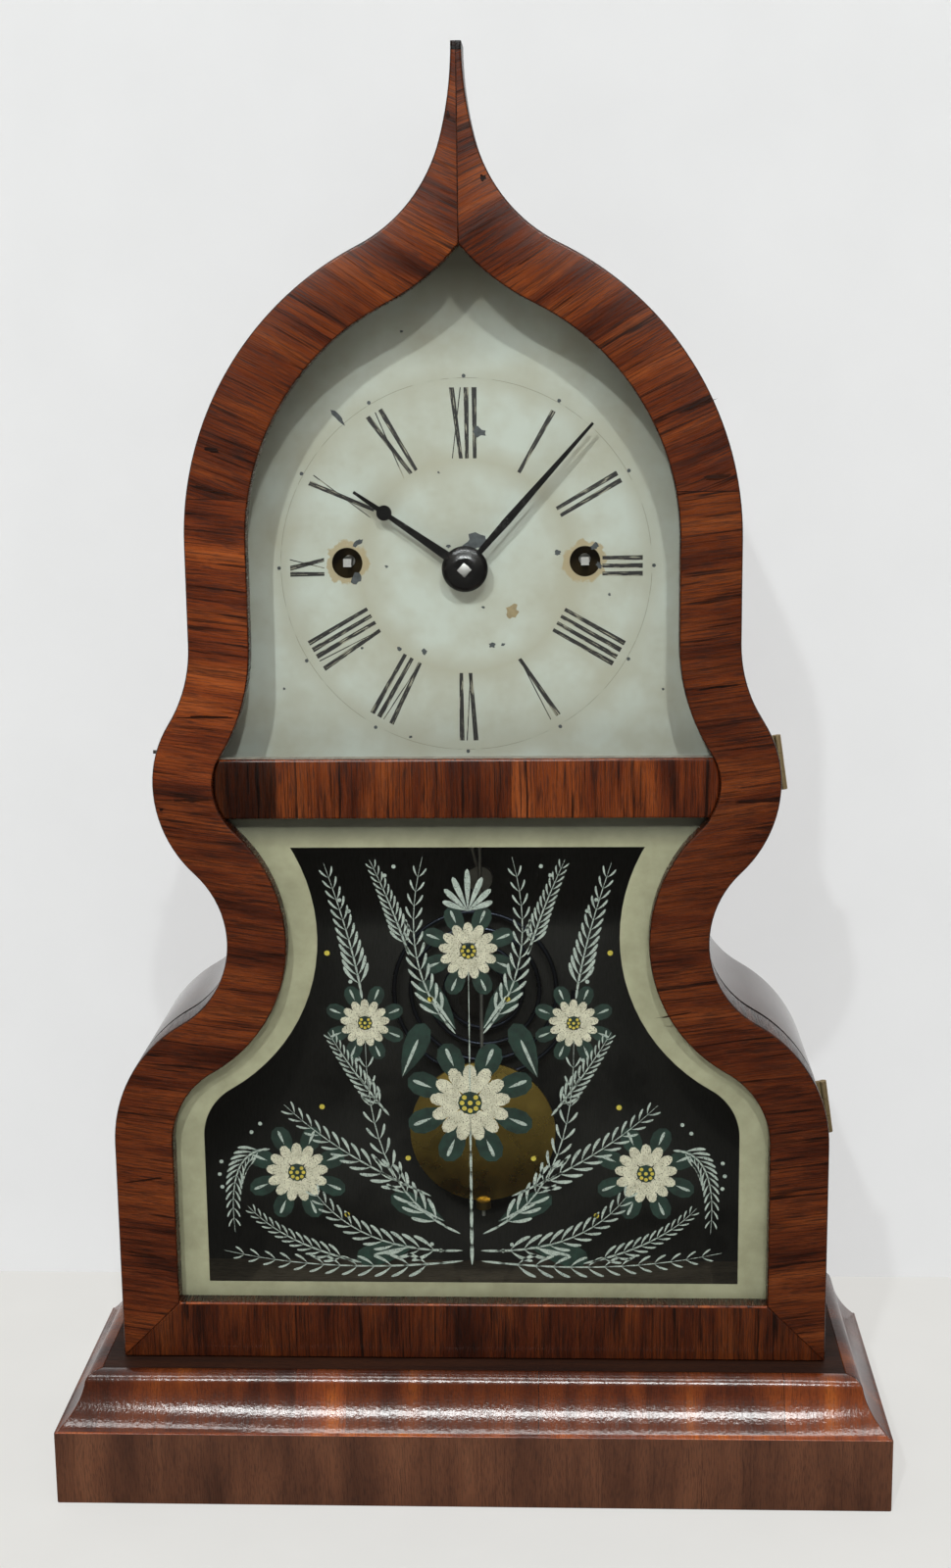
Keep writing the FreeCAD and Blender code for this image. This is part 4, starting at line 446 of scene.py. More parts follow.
@dataclass(frozen=True)
class DialPaint:
    """Aged white lead paint on zinc: a cool grey-green white, yellowed in clouds, tan round the holes.

    Painted shade, with some grime, darkens the rim of the arch: its flanks over one run of levels, its peak
    over another.
    """

    name: str = "aged white paint on zinc"
    colour: str = "c1c9be"
    yellowed: str = "adac98"
    stain: str = "a8976f"
    # Colour, width and overlap of the painted shade and grime along the arch's rim.
    rim_shade_and_grime: str = "59543f"
    rim_shade_width: float = 24 * MM
    rim_shade_overlap: float = 4 * MM
    flank: Place = (405 * MM, 480 * MM)
    flank_share: float = 0.55
    peak: Place = (494 * MM, 537 * MM)
    peak_share: float = 0.95
    holes: tuple[Place, Place] = ((-51.5 * MM, 411.6 * MM), (51.5 * MM, 411.6 * MM))
    stain_span: Place = (5.0 * MM, 4.2 * MM)
    stain_share: float = 0.85
    fray: float = 9 * MM
    fray_size: float = 4 * MM
    rings: tuple[Triple, ...] = ((46 * MM, 9 * MM, 0.85), (80 * MM, 8 * MM, 0.6))
    cloud: float = 32 * MM
    grit: float = 0.9 * MM

    def reach(self, surface: Surface, spot: Socket, place: Place) -> Socket:
        """Adds the distance from a place on the dial.

        Args:
            surface: the material under construction.
            spot: the coordinates.
            place: the place, across and up.

        Returns:
            The distance.
        """
        flat = surface.add("VectorMath", {0: spot, 1: (1.0, 0.0, 1.0)}, operation="MULTIPLY")
        away = surface.add("VectorMath", {0: flat.outputs[0], 1: (place[0], 0.0, place[1])},
                           operation="DISTANCE")
        return away.outputs["Value"]

    def smoked(self, surface: Surface, spot: Socket) -> Socket:
        """Adds the mask of the painted shade and grime along the arch.

        Args:
            surface: the material under construction.
            spot: the coordinates.

        Returns:
            The mask.
        """
        arch = LINE.arch
        level = surface.add("VectorMath", {0: spot, 1: (1.0, 0.0, 1.0), 2: (0.0, 0.0, -arch.level)},
                            operation="MULTIPLY_ADD")
        upper = surface.add("VectorMath", {0: level.outputs[0], 1: (-1.0, 0.0, 0.0)}, operation="MAXIMUM")
        folded = surface.add("VectorMath", {0: upper.outputs[0]}, operation="ABSOLUTE")
        away = surface.add("VectorMath", {0: folded.outputs[0], 1: (arch.across, 0.0, 0.0)},
                           operation="DISTANCE")
        rim = arch.radius - STILE_WIDTH
        edge = surface.add("MapRange", {"Value": away.outputs["Value"], "From Min": rim - self.rim_shade_width,
                                        "From Max": rim + self.rim_shade_overlap},
                           interpolation_type="SMOOTHSTEP")
        height = surface.add("SeparateXYZ", {"Vector": spot}).outputs["Z"]
        masks = []
        for (low, high), share in ((self.flank, self.flank_share), (self.peak, self.peak_share)):
            rise = surface.add("MapRange", {"Value": height, "From Min": low, "From Max": high,
                                            "To Min": 0.0, "To Max": share})
            masks.append(rise.outputs["Result"])
        beside = surface.add("Math", {0: edge.outputs["Result"], 1: masks[0]}, operation="MULTIPLY")
        return surface.add("Math", {0: beside.outputs[0], 1: masks[1]}, operation="MAXIMUM").outputs[0]

    def material(self) -> Finish:
        """Builds the dial's material.

        Returns:
            The material.
        """
        surface = Surface(self.name)
        spot = surface.add("TexCoord").outputs["Object"]
        clouds = surface.add("TexNoise", {"Vector": spot, "Scale": 1 / self.cloud, "Detail": 6.0,
                                          "Roughness": 0.62})
        aged = surface.add("ValToRGB", {"Fac": clouds.outputs["Fac"]}, [(0.38, grey(0)), (0.68, grey(0.9))])
        coats = [(aged.outputs["Color"], self.yellowed)]
        for ring, blur, strength in self.rings:
            off = surface.add("Math", {0: self.reach(surface, spot, DIAL_CENTER), 1: ring},
                              operation="SUBTRACT")
            near = surface.add("Math", {0: off.outputs[0]}, operation="ABSOLUTE")
            rubbed = surface.add("MapRange", {"Value": near.outputs[0], "From Min": 0.0, "From Max": blur,
                                              "To Min": strength, "To Max": 0.0})
            coats.append((rubbed.outputs["Result"], self.yellowed))
        # Painted shade and grime along the arch's rim, where the door frame shades the dial.
        coats.append((self.smoked(surface, spot), self.rim_shade_and_grime))
        ragged = surface.add("TexNoise", {"Vector": spot, "Scale": 1 / self.fray_size, "Detail": 4.0})
        for hole in self.holes:
            away = self.reach(surface, spot, hole)
            frayed = surface.add("Math", {0: ragged.outputs["Fac"], 1: -self.fray, 2: away},
                                 operation="MULTIPLY_ADD")
            mask = surface.add("MapRange", {"Value": frayed.outputs[0], "From Min": self.stain_span[0],
                                            "From Max": self.stain_span[1], "To Min": 0.0,
                                            "To Max": self.stain_share})
            coats.append((mask.outputs["Result"], self.stain))
        colour = surface.lay(linear(self.colour), coats)
        grit = surface.add("TexNoise", {"Vector": spot, "Scale": 1 / self.grit, "Detail": 3.0})
        relief = surface.add("Bump", {"Height": grit.outputs["Fac"], "Strength": 0.15, "Distance": 0.05 * MM})
        shader = surface.add("BsdfPrincipled", {"Base Color": colour, "Roughness": 0.52, "IOR": 1.5,
                                                "Normal": relief.outputs[0]})
        return surface.finish(shader.outputs[0])


@dataclass(frozen=True)
class WindowGlass:
    """Old window glass: a thin clear pane, faintly wavy where it mirrors the room."""

    name: str = "old window glass"
    colour: str = "fefefe"
    wave: float = 45 * MM

    def material(self) -> Finish:
        """Builds the glass's material, which mirrors on the pane's outer face and lets all light through.

        Returns:
            The material.
        """
        surface = Surface(self.name)
        spot = surface.add("TexCoord").outputs["Object"]
        waves = surface.add("TexNoise", {"Vector": spot, "Scale": 1 / self.wave, "Detail": 1.0})
        relief = surface.add("Bump", {"Height": waves.outputs["Fac"], "Strength": 0.1, "Distance": 0.4 * MM})
        mirror = surface.add("BsdfPrincipled", {"Base Color": linear("ffffff"), "Metallic": 1.0,
                                                "Roughness": 0.0, "Normal": relief.outputs[0]})
        clear = surface.add("BsdfTransparent", {"Color": linear(self.colour)})
        path = surface.add("LightPath")
        light = surface.add("Math", {0: path.outputs["Is Shadow Ray"], 1: path.outputs["Is Diffuse Ray"]},
                            operation="MAXIMUM")
        inner = surface.add("NewGeometry").outputs["Backfacing"]
        plain = surface.add("Math", {0: light.outputs[0], 1: inner}, operation="MAXIMUM")
        bright = surface.add("Math", {0: 1.0, 1: plain.outputs[0]}, operation="SUBTRACT")
        edge = surface.add("Fresnel", {"IOR": 1.5, "Normal": relief.outputs[0]})
        share = surface.add("Math", {0: edge.outputs[0], 1: bright.outputs[0]}, operation="MULTIPLY")
        both = surface.add("MixShader", {0: share.outputs[0], 1: clear.outputs[0], 2: mirror.outputs[0]})
        return surface.finish(both.outputs[0])


# Polished rosewood veneer: red-brown with close near-black lines and a few broad ones, under old shellac that
# gives a warm soft shine. The fine lines are drawn a little coarser than the real pores, to show.
ROSEWOOD = Timber("polished rosewood veneer", ("40190b", "652b12", "803c18", "964c22"), "1a0b06",
                  streak_length=48 * MM, streak_width=0.7 * MM, streak_span=(0.47, 0.7), band_width=15 * MM,
                  wave=1.7 * MM, pore_length=9 * MM, pore_width=0.5 * MM, pore_tone=0.4,
                  figure_width=2.4 * MM, coat=0.08, shine=0.2)
# Bent laminated sides, stained and shellacked: darker, glossy, with the grain along the bend.
BENTWOOD = Timber("stained bentwood", ("2c170f", "402217", "55301f"), "180c08", streak_length=120 * MM,
                  streak_width=1.8 * MM, roughness=(0.14, 0.22), coat=0.4, shine=0.5)
# Mahogany veneer laid with the grain up the moulding: broad soft bands along its length, little line, and a
# polish whose ripple breaks up the highlights.
MAHOGANY = Timber("polished mahogany veneer", ("34150b", "562512", "783816", "a2561e"), "210e08",
                  streak_width=0.9 * MM, streak_span=(0.52, 0.85), band_width=30 * MM, roughness=(0.14, 0.25),
                  coat=0.0, shine=0.4, ripple=1.8 * MM)
# The fascia's veneer has lost most of its polish: the same wood, greyer and nearly matt.
DULL_MAHOGANY = replace(MAHOGANY, name="dulled mahogany veneer",
                        tones=("44261a", "593423", "6a402b", "7c4e35"), streak="2d1810",
                        roughness=(0.36, 0.5), shine=0.36, ripple=0.0)
# The core's top is stained to go with the veneer round it, and darkened further as painted shade under the
# door.
STAINED_AND_SHADED_CORE = Timber("mahogany-stained core", ("24110a", "30180e", "3e2113"), "180c07", Grain.ACROSS,
                      streak_length=90 * MM, streak_width=2 * MM, roughness=(0.55, 0.7), coat=0.0, shine=0.12)
# Bare pine, brown with age: dull, straight lines along the boards, and painted near-black on its faces inside
# the case as the shade there.
PINE = Timber("aged pine", ("4a3723", "654c30", "7a5f3e"), "35261a", Grain.UPRIGHT, streak_length=140 * MM,
              streak_width=2.6 * MM, band_width=22 * MM, roughness=(0.6, 0.8), coat=0.0, shine=0.3,
              inner_shade="1c1a18")
# The floor of the case lies under a century of dust.
DUSTY_PINE = replace(PINE, name="dusty pine", tones=("3e352d", "4d443a", "5b5146"), streak="2f2822",
                     run=Grain.ACROSS, roughness=(0.7, 0.9), shine=0.2, inner_shade="")
# Brass, polished long ago: yellow with brown clouds. The plates inside are duller and darker, partly as
# painted shade inside the case, and the front plate is painted near-black as the shade behind the dial's
# holes. The hinges are nearly brown.
BRASS = Metal("old polished brass", "e3c26a", "a98a45", (0.22, 0.4))
PLATE_BRASS = Metal("dull plate brass", "7d6838", "4a3b21", (0.35, 0.55))
SHADED_PLATE_BRASS = Metal("smoked plate brass", "3a2f1c", "221b12", (0.4, 0.6))
HINGE_BRASS = Metal("dark hinge brass", "9c8866", "64543d", (0.5, 0.7), cloud=6 * MM)
# Steel: grey and bright where the key turns, blued on the springs; iron is black from the foundry.
STEEL = Metal("bright steel", "c3c2bd", "85817b", (0.42, 0.6), cloud=8 * MM)
SPRING_STEEL = Metal("blued spring steel", "3a3f4c", "221f20", (0.25, 0.45))
IRON = Metal("cast iron", "35322f", "231f1c", (0.5, 0.75), cloud=6 * MM, scratch=0.9 * MM)
ZINC = Metal("bare zinc", "5b5f60", "3d3f40", (0.5, 0.7), cloud=3 * MM)
# Dust and painted sheen on the middle rail's top: pale and matt, with the wood showing through in places.
DUST_AND_SHEEN = Paint("dust on bare wood", "a59d92", "80766a", 5 * MM, 0.8 * MM, 0.15, "5a4a3d")
# The dial's circle is worn to a faint grey line, and its tan ground shows where only the top coat is lost.
CIRCLE_INK = InkPaint("worn grey circle paint", "6c6d61", "b0b5a5", 6 * MM, 4 * MM, 0.75)
GROUND_COAT = Paint("tan ground coat", "a08f68", "8d7d5a", 3 * MM)
# Behind the lower glass: a grey-cream border with painted shade darkening it under the middle rail, and
# strokes of clear colour.
BORDER = Paint("grey-cream border paint", "aeaa90", "9a967d", 16 * MM, under="34322a",
               shade_levels=(MID_RAIL_FOOT - 15 * MM, MID_RAIL_FOOT - 5 * MM))
CREAM = Paint("cream petal paint", "ddd7c5", "b9b2a0", 4 * MM, 0.5 * MM, 0.2)
PALE_BLUE = Paint("pale blue-grey flourish paint", "bcc5c1", "99a4a1", 3 * MM, 0.6 * MM, 0.15)
LEAF_GREEN = Paint("dark green leaf paint", "1b3a32", "10241f", 5 * MM)
YELLOW = Paint("yellow stamen paint", "d2bf45", "a89636", 2 * MM)


def spin_up(bm: BMesh, moving: list, rise: Vector) -> list:
    """Extrudes a profile along a straight run.

    Args:
        bm: the mesh.
        moving: the profile's vertices and edges.
        rise: how far it goes.

    Returns:
        The profile at its new place.
    """
    made = bmesh.ops.spin(bm, geom=moving, cent=(0, 0, 0), axis=(0, 1, 0), dvec=rise, angle=0.0, steps=1,
                          use_merge=False, use_duplicate=False)
    return made["geom_last"]


@dataclass(frozen=True)
class Arc:
    """One arc of the outline: centre, signed radius, and the bearings it runs between."""

    across: float
    level: float
    radius: float
    first: float
    final: float

    def spot(self, bearing: float) -> Vector:
        """Finds the point at a bearing of the arc's centre."""
        reach = abs(self.radius)
        return Vector((self.across + reach * math.cos(bearing), 0.0, self.level + reach * math.sin(bearing)))

    @property
    def turn(self) -> float:
        """How far the arc turns, with its sign."""
        return self.final - self.first

    @property
    def length(self) -> float:
        """How long the arc is."""
        return abs(self.radius * self.turn)


@dataclass
class AcornLine:
    """Right half of the outline of case and door: upright stretches joined by tangent arcs."""

    foot: Place = (157.7 * MM, 158.0 * MM)
    waist: Place = (104.5 * MM, 250.0 * MM)
    bulge: Place = (134.2 * MM, 320.0 * MM)
    neck: Place = (116.5 * MM, 380.0 * MM)
    dome: Place = (116.5 * MM, 423.0 * MM)
    tip: Place = (2.2 * MM, 622.0 * MM)
    shoulder_radius: float = 64.0 * MM
    waist_radius: float = 43.0 * MM
    bulge_radius: float = 49.0 * MM
    spire_radius: float = 64.5 * MM
    tip_radius: float = 142.0 * MM
    tip_turn: float = math.radians(15.3)
    bottom: float = 56.6 * MM
    spacing: float = 3.5 * MM
    slack: float = 0.02
    arcs: list[Arc] = field(default_factory=list)

    def __post_init__(self) -> None:
        """Solves the arcs from the upright stretches and radii."""
        self.double(self.foot, self.waist, self.shoulder_radius)
        self.double(self.waist, self.bulge, self.waist_radius)
        self.double(self.bulge, self.neck, self.bulge_radius)
        self.spire()

    @property
    def arch(self) -> Arc:
        """The arc of the dome."""
        return self.arcs[-3]

    def double(self, low: Place, high: Place, radius: float) -> None:
        """Adds two arcs from one upright stretch to the next.

        Args:
            low: half width and level where the first arc starts.
            high: half width and level where the second ends.
            radius: the first arc's radius.
        """
        rise = high[1] - low[1]
        turn = 2 * math.atan2(abs(high[0] - low[0]), rise)
        other = rise / math.sin(turn) - radius
        if high[0] < low[0]:
            self.arcs.append(Arc(low[0] - radius, low[1], radius, 0.0, turn))
            self.arcs.append(Arc(high[0] + other, high[1], -other, math.pi + turn, math.pi))
        else:
            self.arcs.append(Arc(low[0] + radius, low[1], -radius, math.pi, math.pi - turn))
            self.arcs.append(Arc(high[0] - other, high[1], other, -turn, 0.0))

    def spire(self) -> None:
        """Adds the dome, the hollow of the spire and the slender tip."""
        shift = self.tip_radius - self.spire_radius
        lean = self.tip_turn
        across = self.dome[0] - self.tip[0] - shift * (1 - math.cos(lean))
        up = self.tip[1] - self.dome[1] - shift * math.sin(lean)
        turn = 2 * math.atan2(across, up)
        radius = up / math.sin(turn) - self.spire_radius
        middle = self.tip[0] + self.tip_radius
        self.arcs.append(Arc(self.dome[0] - radius, self.dome[1], radius, 0.0, turn))
        self.arcs.append(Arc(middle - shift * math.cos(lean), self.tip[1] - shift * math.sin(lean),
                             -self.spire_radius, math.pi + turn, math.pi + lean))
        self.arcs.append(Arc(middle, self.tip[1], -self.tip_radius, math.pi + lean, math.pi))

    def sweep(self, bm: BMesh, moving: list, bottom: float) -> None:
        """Carries a profile that lies across the foot up the whole outline.

        Args:
            bm: the mesh.
            moving: the profile's vertices and edges.
            bottom: the level it starts from.
        """
        here = Vector((self.foot[0], 0.0, bottom))
        for arc in self.arcs:
            rise = arc.spot(arc.first) - here
            if rise.length > 0.01 * MM:
                moving = spin_up(bm, moving, rise)
            steps = max(3, round(arc.length / self.spacing))
            made = bmesh.ops.spin(bm, geom=moving, cent=(arc.across, 0.0, arc.level), axis=(0, -1, 0),
                                  dvec=(0, 0, 0), angle=arc.turn, steps=steps, use_merge=False,
                                  use_duplicate=False)
            moving = made["geom_last"]
            here = arc.spot(arc.final)

    def locate(self, point: Vector) -> Place:
        """Finds a point's place along the outline and its distance inside it.

        Args:
            point: a point; its sign of X is ignored.

        Returns:
            The way along the outline from the bottom, and the inset.
        """
        across, level = abs(point.x), point.z
        best = (level - self.bottom, self.foot[0] - across)
        if level <= self.foot[1]:
            return best
        gone = self.foot[1] - self.bottom
        last = self.foot[1]
        least = math.inf
        for arc in self.arcs:
            run = arc.spot(arc.first)
            if arc.first == 0.0 or math.isclose(arc.first, math.pi):
                if last < level < run.z and abs(run.x - across) < least:
                    least = abs(run.x - across)
                    best = (gone + level - last, run.x - across)
                gone += max(0.0, run.z - last)
            bearing = math.atan2(level - arc.level, across - arc.across) % (2 * math.pi)
            if arc.first < 0 and bearing > math.pi:
                bearing -= 2 * math.pi
            low, high = sorted((arc.first, arc.final))
            reach = math.hypot(level - arc.level, across - arc.across)
            inset = abs(arc.radius) - reach if arc.radius > 0 else reach - abs(arc.radius)
            if low - self.slack <= bearing <= high + self.slack and abs(inset) < least:
                least = abs(inset)
                best = (gone + abs((bearing - arc.first) * arc.radius), inset)
            gone += arc.length
            last = arc.spot(arc.final).z
        return best


LINE = AcornLine()


def new_bmesh(node: str | None = None) -> BMesh:
    """Returns an empty mesh, or a merged copy of a CAD node's mesh with its flat faces made whole.

    Args:
        node: the CAD node's name, if any.

    Returns:
        The mesh.
    """
    bm = bmesh.new()
    if node is not None:
        bm.from_mesh(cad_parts[node].data)
        bmesh.ops.remove_doubles(bm, verts=bm.verts, dist=0.002 * MM)
        bmesh.ops.dissolve_limit(bm, angle_limit=math.radians(0.4), verts=bm.verts, edges=bm.edges)
    return bm


def soften(bm: BMesh, width: float, sharp: float = 35.0,
           test: Callable[[Vector], bool] | None = None) -> None:
    """Bevels a mesh's outward edges.

    Args:
        bm: the mesh.
        width: the bevel's width.
        sharp: least angle of an edge that is bevelled, in degrees.
        test: says of an edge's middle if it is bevelled.
    """
    least = math.radians(sharp)
    edges = []
    for edge in bm.edges:
        if len(edge.link_faces) == 2 and edge.calc_face_angle_signed(0.0) > least:
            middle = (edge.verts[0].co + edge.verts[1].co) / 2
            if test is None or test(middle):
                edges.append(edge)
    bmesh.ops.bevel(bm, geom=edges, offset=width, offset_type="OFFSET", segments=3, profile=0.5, material=-1,
                    affect="EDGES", clamp_overlap=True)


def lay_grain(bm: BMesh, where: Callable[[Vector], Place], tone: Callable[[Vector], float]) -> None:
    """Gives a mesh its grain map and the tone of each veneer leaf.

    Args:
        bm: the mesh.
        where: grain coordinates of a point, along the grain first.
        tone: the leaf's tone at a face's middle.
    """
    uv = bm.loops.layers.uv.verify()
    leaf = bm.faces.layers.float.new(LEAF)
    for face in bm.faces:
        face[leaf] = tone(face.calc_center_median())
        for loop in face.loops:
            loop[uv].uv = where(loop.vert.co)


def cut(bm: BMesh, at: Vector, across: Vector, drop: bool = False) -> None:
    """Cuts a mesh by a plane.

    Args:
        bm: the mesh.
        at: a point on the plane.
        across: its normal.
        drop: true to drop what lies behind the plane and close the hole.
    """
    whole = bm.verts[:] + bm.edges[:] + bm.faces[:]
    bmesh.ops.bisect_plane(bm, geom=whole, dist=0.001 * MM, plane_co=at, plane_no=across, clear_inner=drop)
    if drop:
        bmesh.ops.holes_fill(bm, edges=[edge for edge in bm.edges if edge.is_boundary], sides=0)


def score(bm: BMesh, at: Vector, across: Vector, half: float) -> None:
    """Cuts both sides of a narrow seam into a mesh's faces.

    Args:
        bm: the mesh.
        at: a point in the seam's middle.
        across: the unit direction across it.
        half: half its width.
    """
    for shift in (-half, half):
        cut(bm, at + shift * across, across)


def face_front(bm: BMesh, verts: list, spot: Vector, unit: Place, turn: float) -> None:
    """Turns a flat form to the front and puts it in its place.

    Args:
        bm: the mesh.
        verts: the form's vertices, round the origin.
        spot: where its origin goes.
        unit: the length of its unit of width and of height.
        turn: how far it is turned clockwise, in radians.
    """
    place = (Matrix.Translation(spot) @ Matrix.Rotation(turn, 4, "Y") @ Matrix.Rotation(math.pi / 2, 4, "X")
             @ Matrix.Diagonal((unit[0], unit[1], 1.0, 1.0)))
    bmesh.ops.transform(bm, matrix=place, verts=verts)


def blot(bm: BMesh, spot: Vector, half: Place, turn: float, ragged: float, seed: int) -> None:
    """Adds one flat ragged spot facing the front.

    Args:
        bm: the mesh.
        spot: its middle.
        half: half its width and height.
        turn: how far it is turned, in radians.
        ragged: how uneven its edge is.
        seed: makes each spot its own.
    """
    luck = random.Random(seed)
    made = bmesh.ops.create_circle(bm, cap_ends=True, radius=1.0, segments=14)
    for vert in made["verts"]:
        vert.co *= 1 + ragged * luck.uniform(-1, 1)
    face_front(bm, made["verts"], spot, half, turn)


def piece(bm: BMesh, name: str, body: str, finish: Finish, stands_for: Sequence[str] = (),
          sharp: float = 32.0, closed: bool = True) -> None:
    """Turns a mesh into a piece of the clock.

    Args:
        bm: the mesh, freed here.
        name: the piece's name.
        body: the CAD body it rides on.
        finish: its material.
        stands_for: CAD nodes it replaces.
        sharp: edges over this angle stay sharp, in degrees.
        closed: true where the mesh is a closed shell.
    """
    if closed:
        bmesh.ops.recalc_face_normals(bm, faces=bm.faces)
    mesh = bpy.data.meshes.new(name)
    bm.to_mesh(mesh)
    bm.free()
    if mesh.uv_layers:
        mesh.uv_layers[0].name = GRAIN_UV
    mesh.materials.append(finish)
    mesh.shade_smooth()
    mesh.set_sharp_from_angle(angle=math.radians(sharp))
    made = bpy.data.objects.new(name, mesh)
    bpy.context.scene.collection.objects.link(made)
    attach(made, body)
    if stands_for:
        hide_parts(*stands_for)
    LOG.info("%s rides on %s, %d faces", name, body, len(mesh.polygons))


@dataclass
class Base:
    """The moulded base: fascia and ogee on three sides, veneered with the grain upright."""

    front: float = BASE_FRONT
    side: float = BASE_SIDE
    joints: tuple[float, ...] = (-78 * MM, -55 * MM, 30 * MM, 138 * MM)
    # The brightest leaves stand where the ogee catches light: their tone is part leaf, part painted
    # highlight.
    tones: tuple[float, ...] = (0.9, 1.4, 0.86, 1.0, 1.3)
    seam: float = 0.22 * MM
    seam_tone: float = 0.55
    side_tone: float = 0.9
    edge: float = 0.5 * MM
    fascia: float = 33.6 * MM
    worn: float = 1.0 * MM
    glint_and_wear_tone: float = 2.2

    def leaf(self, spot: Vector) -> float:
        """Gives the tone of the front's ogee, with its leaves side by side and its lower edge paler, worn and
        with a painted highlight.

        Args:
            spot: the middle of a face.

        Returns:
            The tone.
        """
        # Painted highlight and wear along the ogee's lower edge.
        if spot.z < self.fascia + self.worn:
            return self.glint_and_wear_tone
        if any(abs(spot.x - joint) < self.seam for joint in self.joints):
            return self.seam_tone
        return self.tones[sum(spot.x > joint for joint in self.joints)]

    def build(self, ogee: Finish, fascia: Finish) -> None:
        """Builds the three mouldings, each as its ogee and its fascia.

        Args:
            ogee: the upper veneer.
            fascia: the lower veneer.
        """
        for upper, finish in ((True, ogee), (False, fascia)):
            bm = self.half("base_front_moulding", upper)
            for joint in self.joints if upper else ():
                score(bm, Vector((joint, 0, 0)), Vector((1, 0, 0)), self.seam)
            lay_grain(bm, lambda spot: (spot.z + spot.y - self.front, spot.x),
                      self.leaf if upper else lambda spot: 1.0)
            self.place(bm, "base_front_moulding", upper, finish)
            for hand, node in ((-1, "base_left_moulding"), (1, "base_right_moulding")):
                bm = self.half(node, upper)
                lay_grain(bm, lambda spot: (spot.z + self.side - abs(spot.x), spot.y + hand),
                          lambda spot: self.side_tone)
                self.place(bm, node, upper, finish)

    def half(self, node: str, upper: bool) -> BMesh:
        """Cuts a moulding in two at the fascia's upper edge.

        Args:
            node: the moulding's CAD node.
            upper: true for the ogee, false for the fascia.

        Returns:
            The half.
        """
        bm = new_bmesh(node)
        soften(bm, self.edge)
        cut(bm, Vector((0, 0, self.fascia)), Vector((0, 0, 1 if upper else -1)), drop=True)
        return bm

    def place(self, bm: BMesh, node: str, upper: bool, finish: Finish) -> None:
        """Makes a moulding's half a piece. The ogee stands for the CAD node."""
        name = node.replace("moulding", "ogee" if upper else "fascia")
        piece(bm, name, "case", finish, [node] if upper else ())


@dataclass
class Bent:
    """A bent piece of the case or door: a profile carried up the acorn outline, cut at the middle plane."""

    front: float
    back: float
    width: float
    rebate_front: float | None = None
    rebate: float = 7 * MM
    edge: float = 1.0 * MM
    corner: float = 0.14 * MM
    groove: float = 0.0

    def profile(self, bm: BMesh, bottom: float) -> list:
        """Lays out the profile across the foot.

        Args:
            bm: the mesh.
            bottom: the level of its lower end.

        Returns:
            The profile's vertices and edges.
        """
        corners = [(0.0, self.front), (self.width, self.front), (self.width, self.back), (0.0, self.back)]
        if self.rebate_front is not None:
            inner = self.width - self.rebate
            corners[2:3] = [(self.width, self.rebate_front), (inner, self.rebate_front), (inner, self.back)]
        if self.groove:
            step = self.back - self.groove
            corners[-1:] = [(self.groove, self.back), (self.groove, step), (0.0, step)]
        verts = [bm.verts.new((LINE.foot[0] - inset, depth, bottom)) for inset, depth in corners]
        edges = [bm.edges.new(pair) for pair in zip(verts, verts[1:] + verts[:1])]
        return verts + edges

    def build(self, bottom: float, mitre: bool) -> BMesh:
        """Builds the right-hand piece.

        Args:
            bottom: the level of its lower end.
            mitre: true where the foot is mitred to a rail.

        Returns:
            The closed mesh.
        """
        bm = new_bmesh()
        LINE.sweep(bm, self.profile(bm, bottom), bottom)
        bmesh.ops.remove_doubles(bm, verts=bm.verts, dist=0.01 * MM)
        bmesh.ops.recalc_face_normals(bm, faces=bm.faces)
        cut(bm, Vector((0, 0, 0)), Vector((1, 0, 0)), drop=True)
        if mitre:
            cut(bm, Vector((LINE.foot[0], 0, bottom)), Vector((1, 0, 1)), drop=True)
        bmesh.ops.holes_fill(bm, edges=[edge for edge in bm.edges if edge.is_boundary], sides=0)
        bmesh.ops.recalc_face_normals(bm, faces=bm.faces)
        soften(bm, self.edge, sharp=60.0,
               test=lambda spot: spot.y < self.front + TOUCH and self.is_long(spot))
        soften(bm, self.corner, sharp=40.0, test=lambda spot: spot.y < self.front + TOUCH)
        for vert in bm.verts:
            vert.co.z = min(vert.co.z, LINE.tip[1])
        return bm

    def is_long(self, spot: Vector) -> bool:
        """True where an edge's middle lies on the outer or the inner outline."""
        inset = LINE.locate(spot)[1]
        return min(abs(inset), abs(inset - self.width)) < 3 * TOUCH


@dataclass
class Case:
    """The bent sides of the case."""

    sides: Bent = field(default_factory=lambda: Bent(CASE_FRONT, CASE_BACK, 8 * MM, edge=0.4 * MM))
    bottom: float = 56 * MM
    # Painted shade on the front edge, in the gap behind the door.
    front_shade_tone: float = 0.08

    def tone(self, spot: Vector) -> float:
        """Gives the timber's tone, with painted shade, nearly black, on the front edge that the door meets.
        """
        return self.front_shade_tone if spot.y < CASE_FRONT + 3 * TOUCH else 1.0

    def build(self, finish: Finish) -> None:
        """Builds both sides.

        Args:
            finish: the timber.
        """
        for hand, node in ((1, "case_right_side"), (-1, "case_left_side")):
            bm = self.sides.build(self.bottom, False)
            cut(bm, Vector((0, 0, CASE_TOP)), Vector((0, 0, -1)), drop=True)
            lay_grain(bm, lambda spot: (LINE.locate(spot)[0], spot.y + LINE.locate(spot)[1] + hand),
                      self.tone)
            if hand < 0:
                bmesh.ops.scale(bm, vec=(-1, 1, 1), verts=bm.verts)
            piece(bm, node.replace("side", "bent_side"), "case", finish, [node], sharp=20.0)


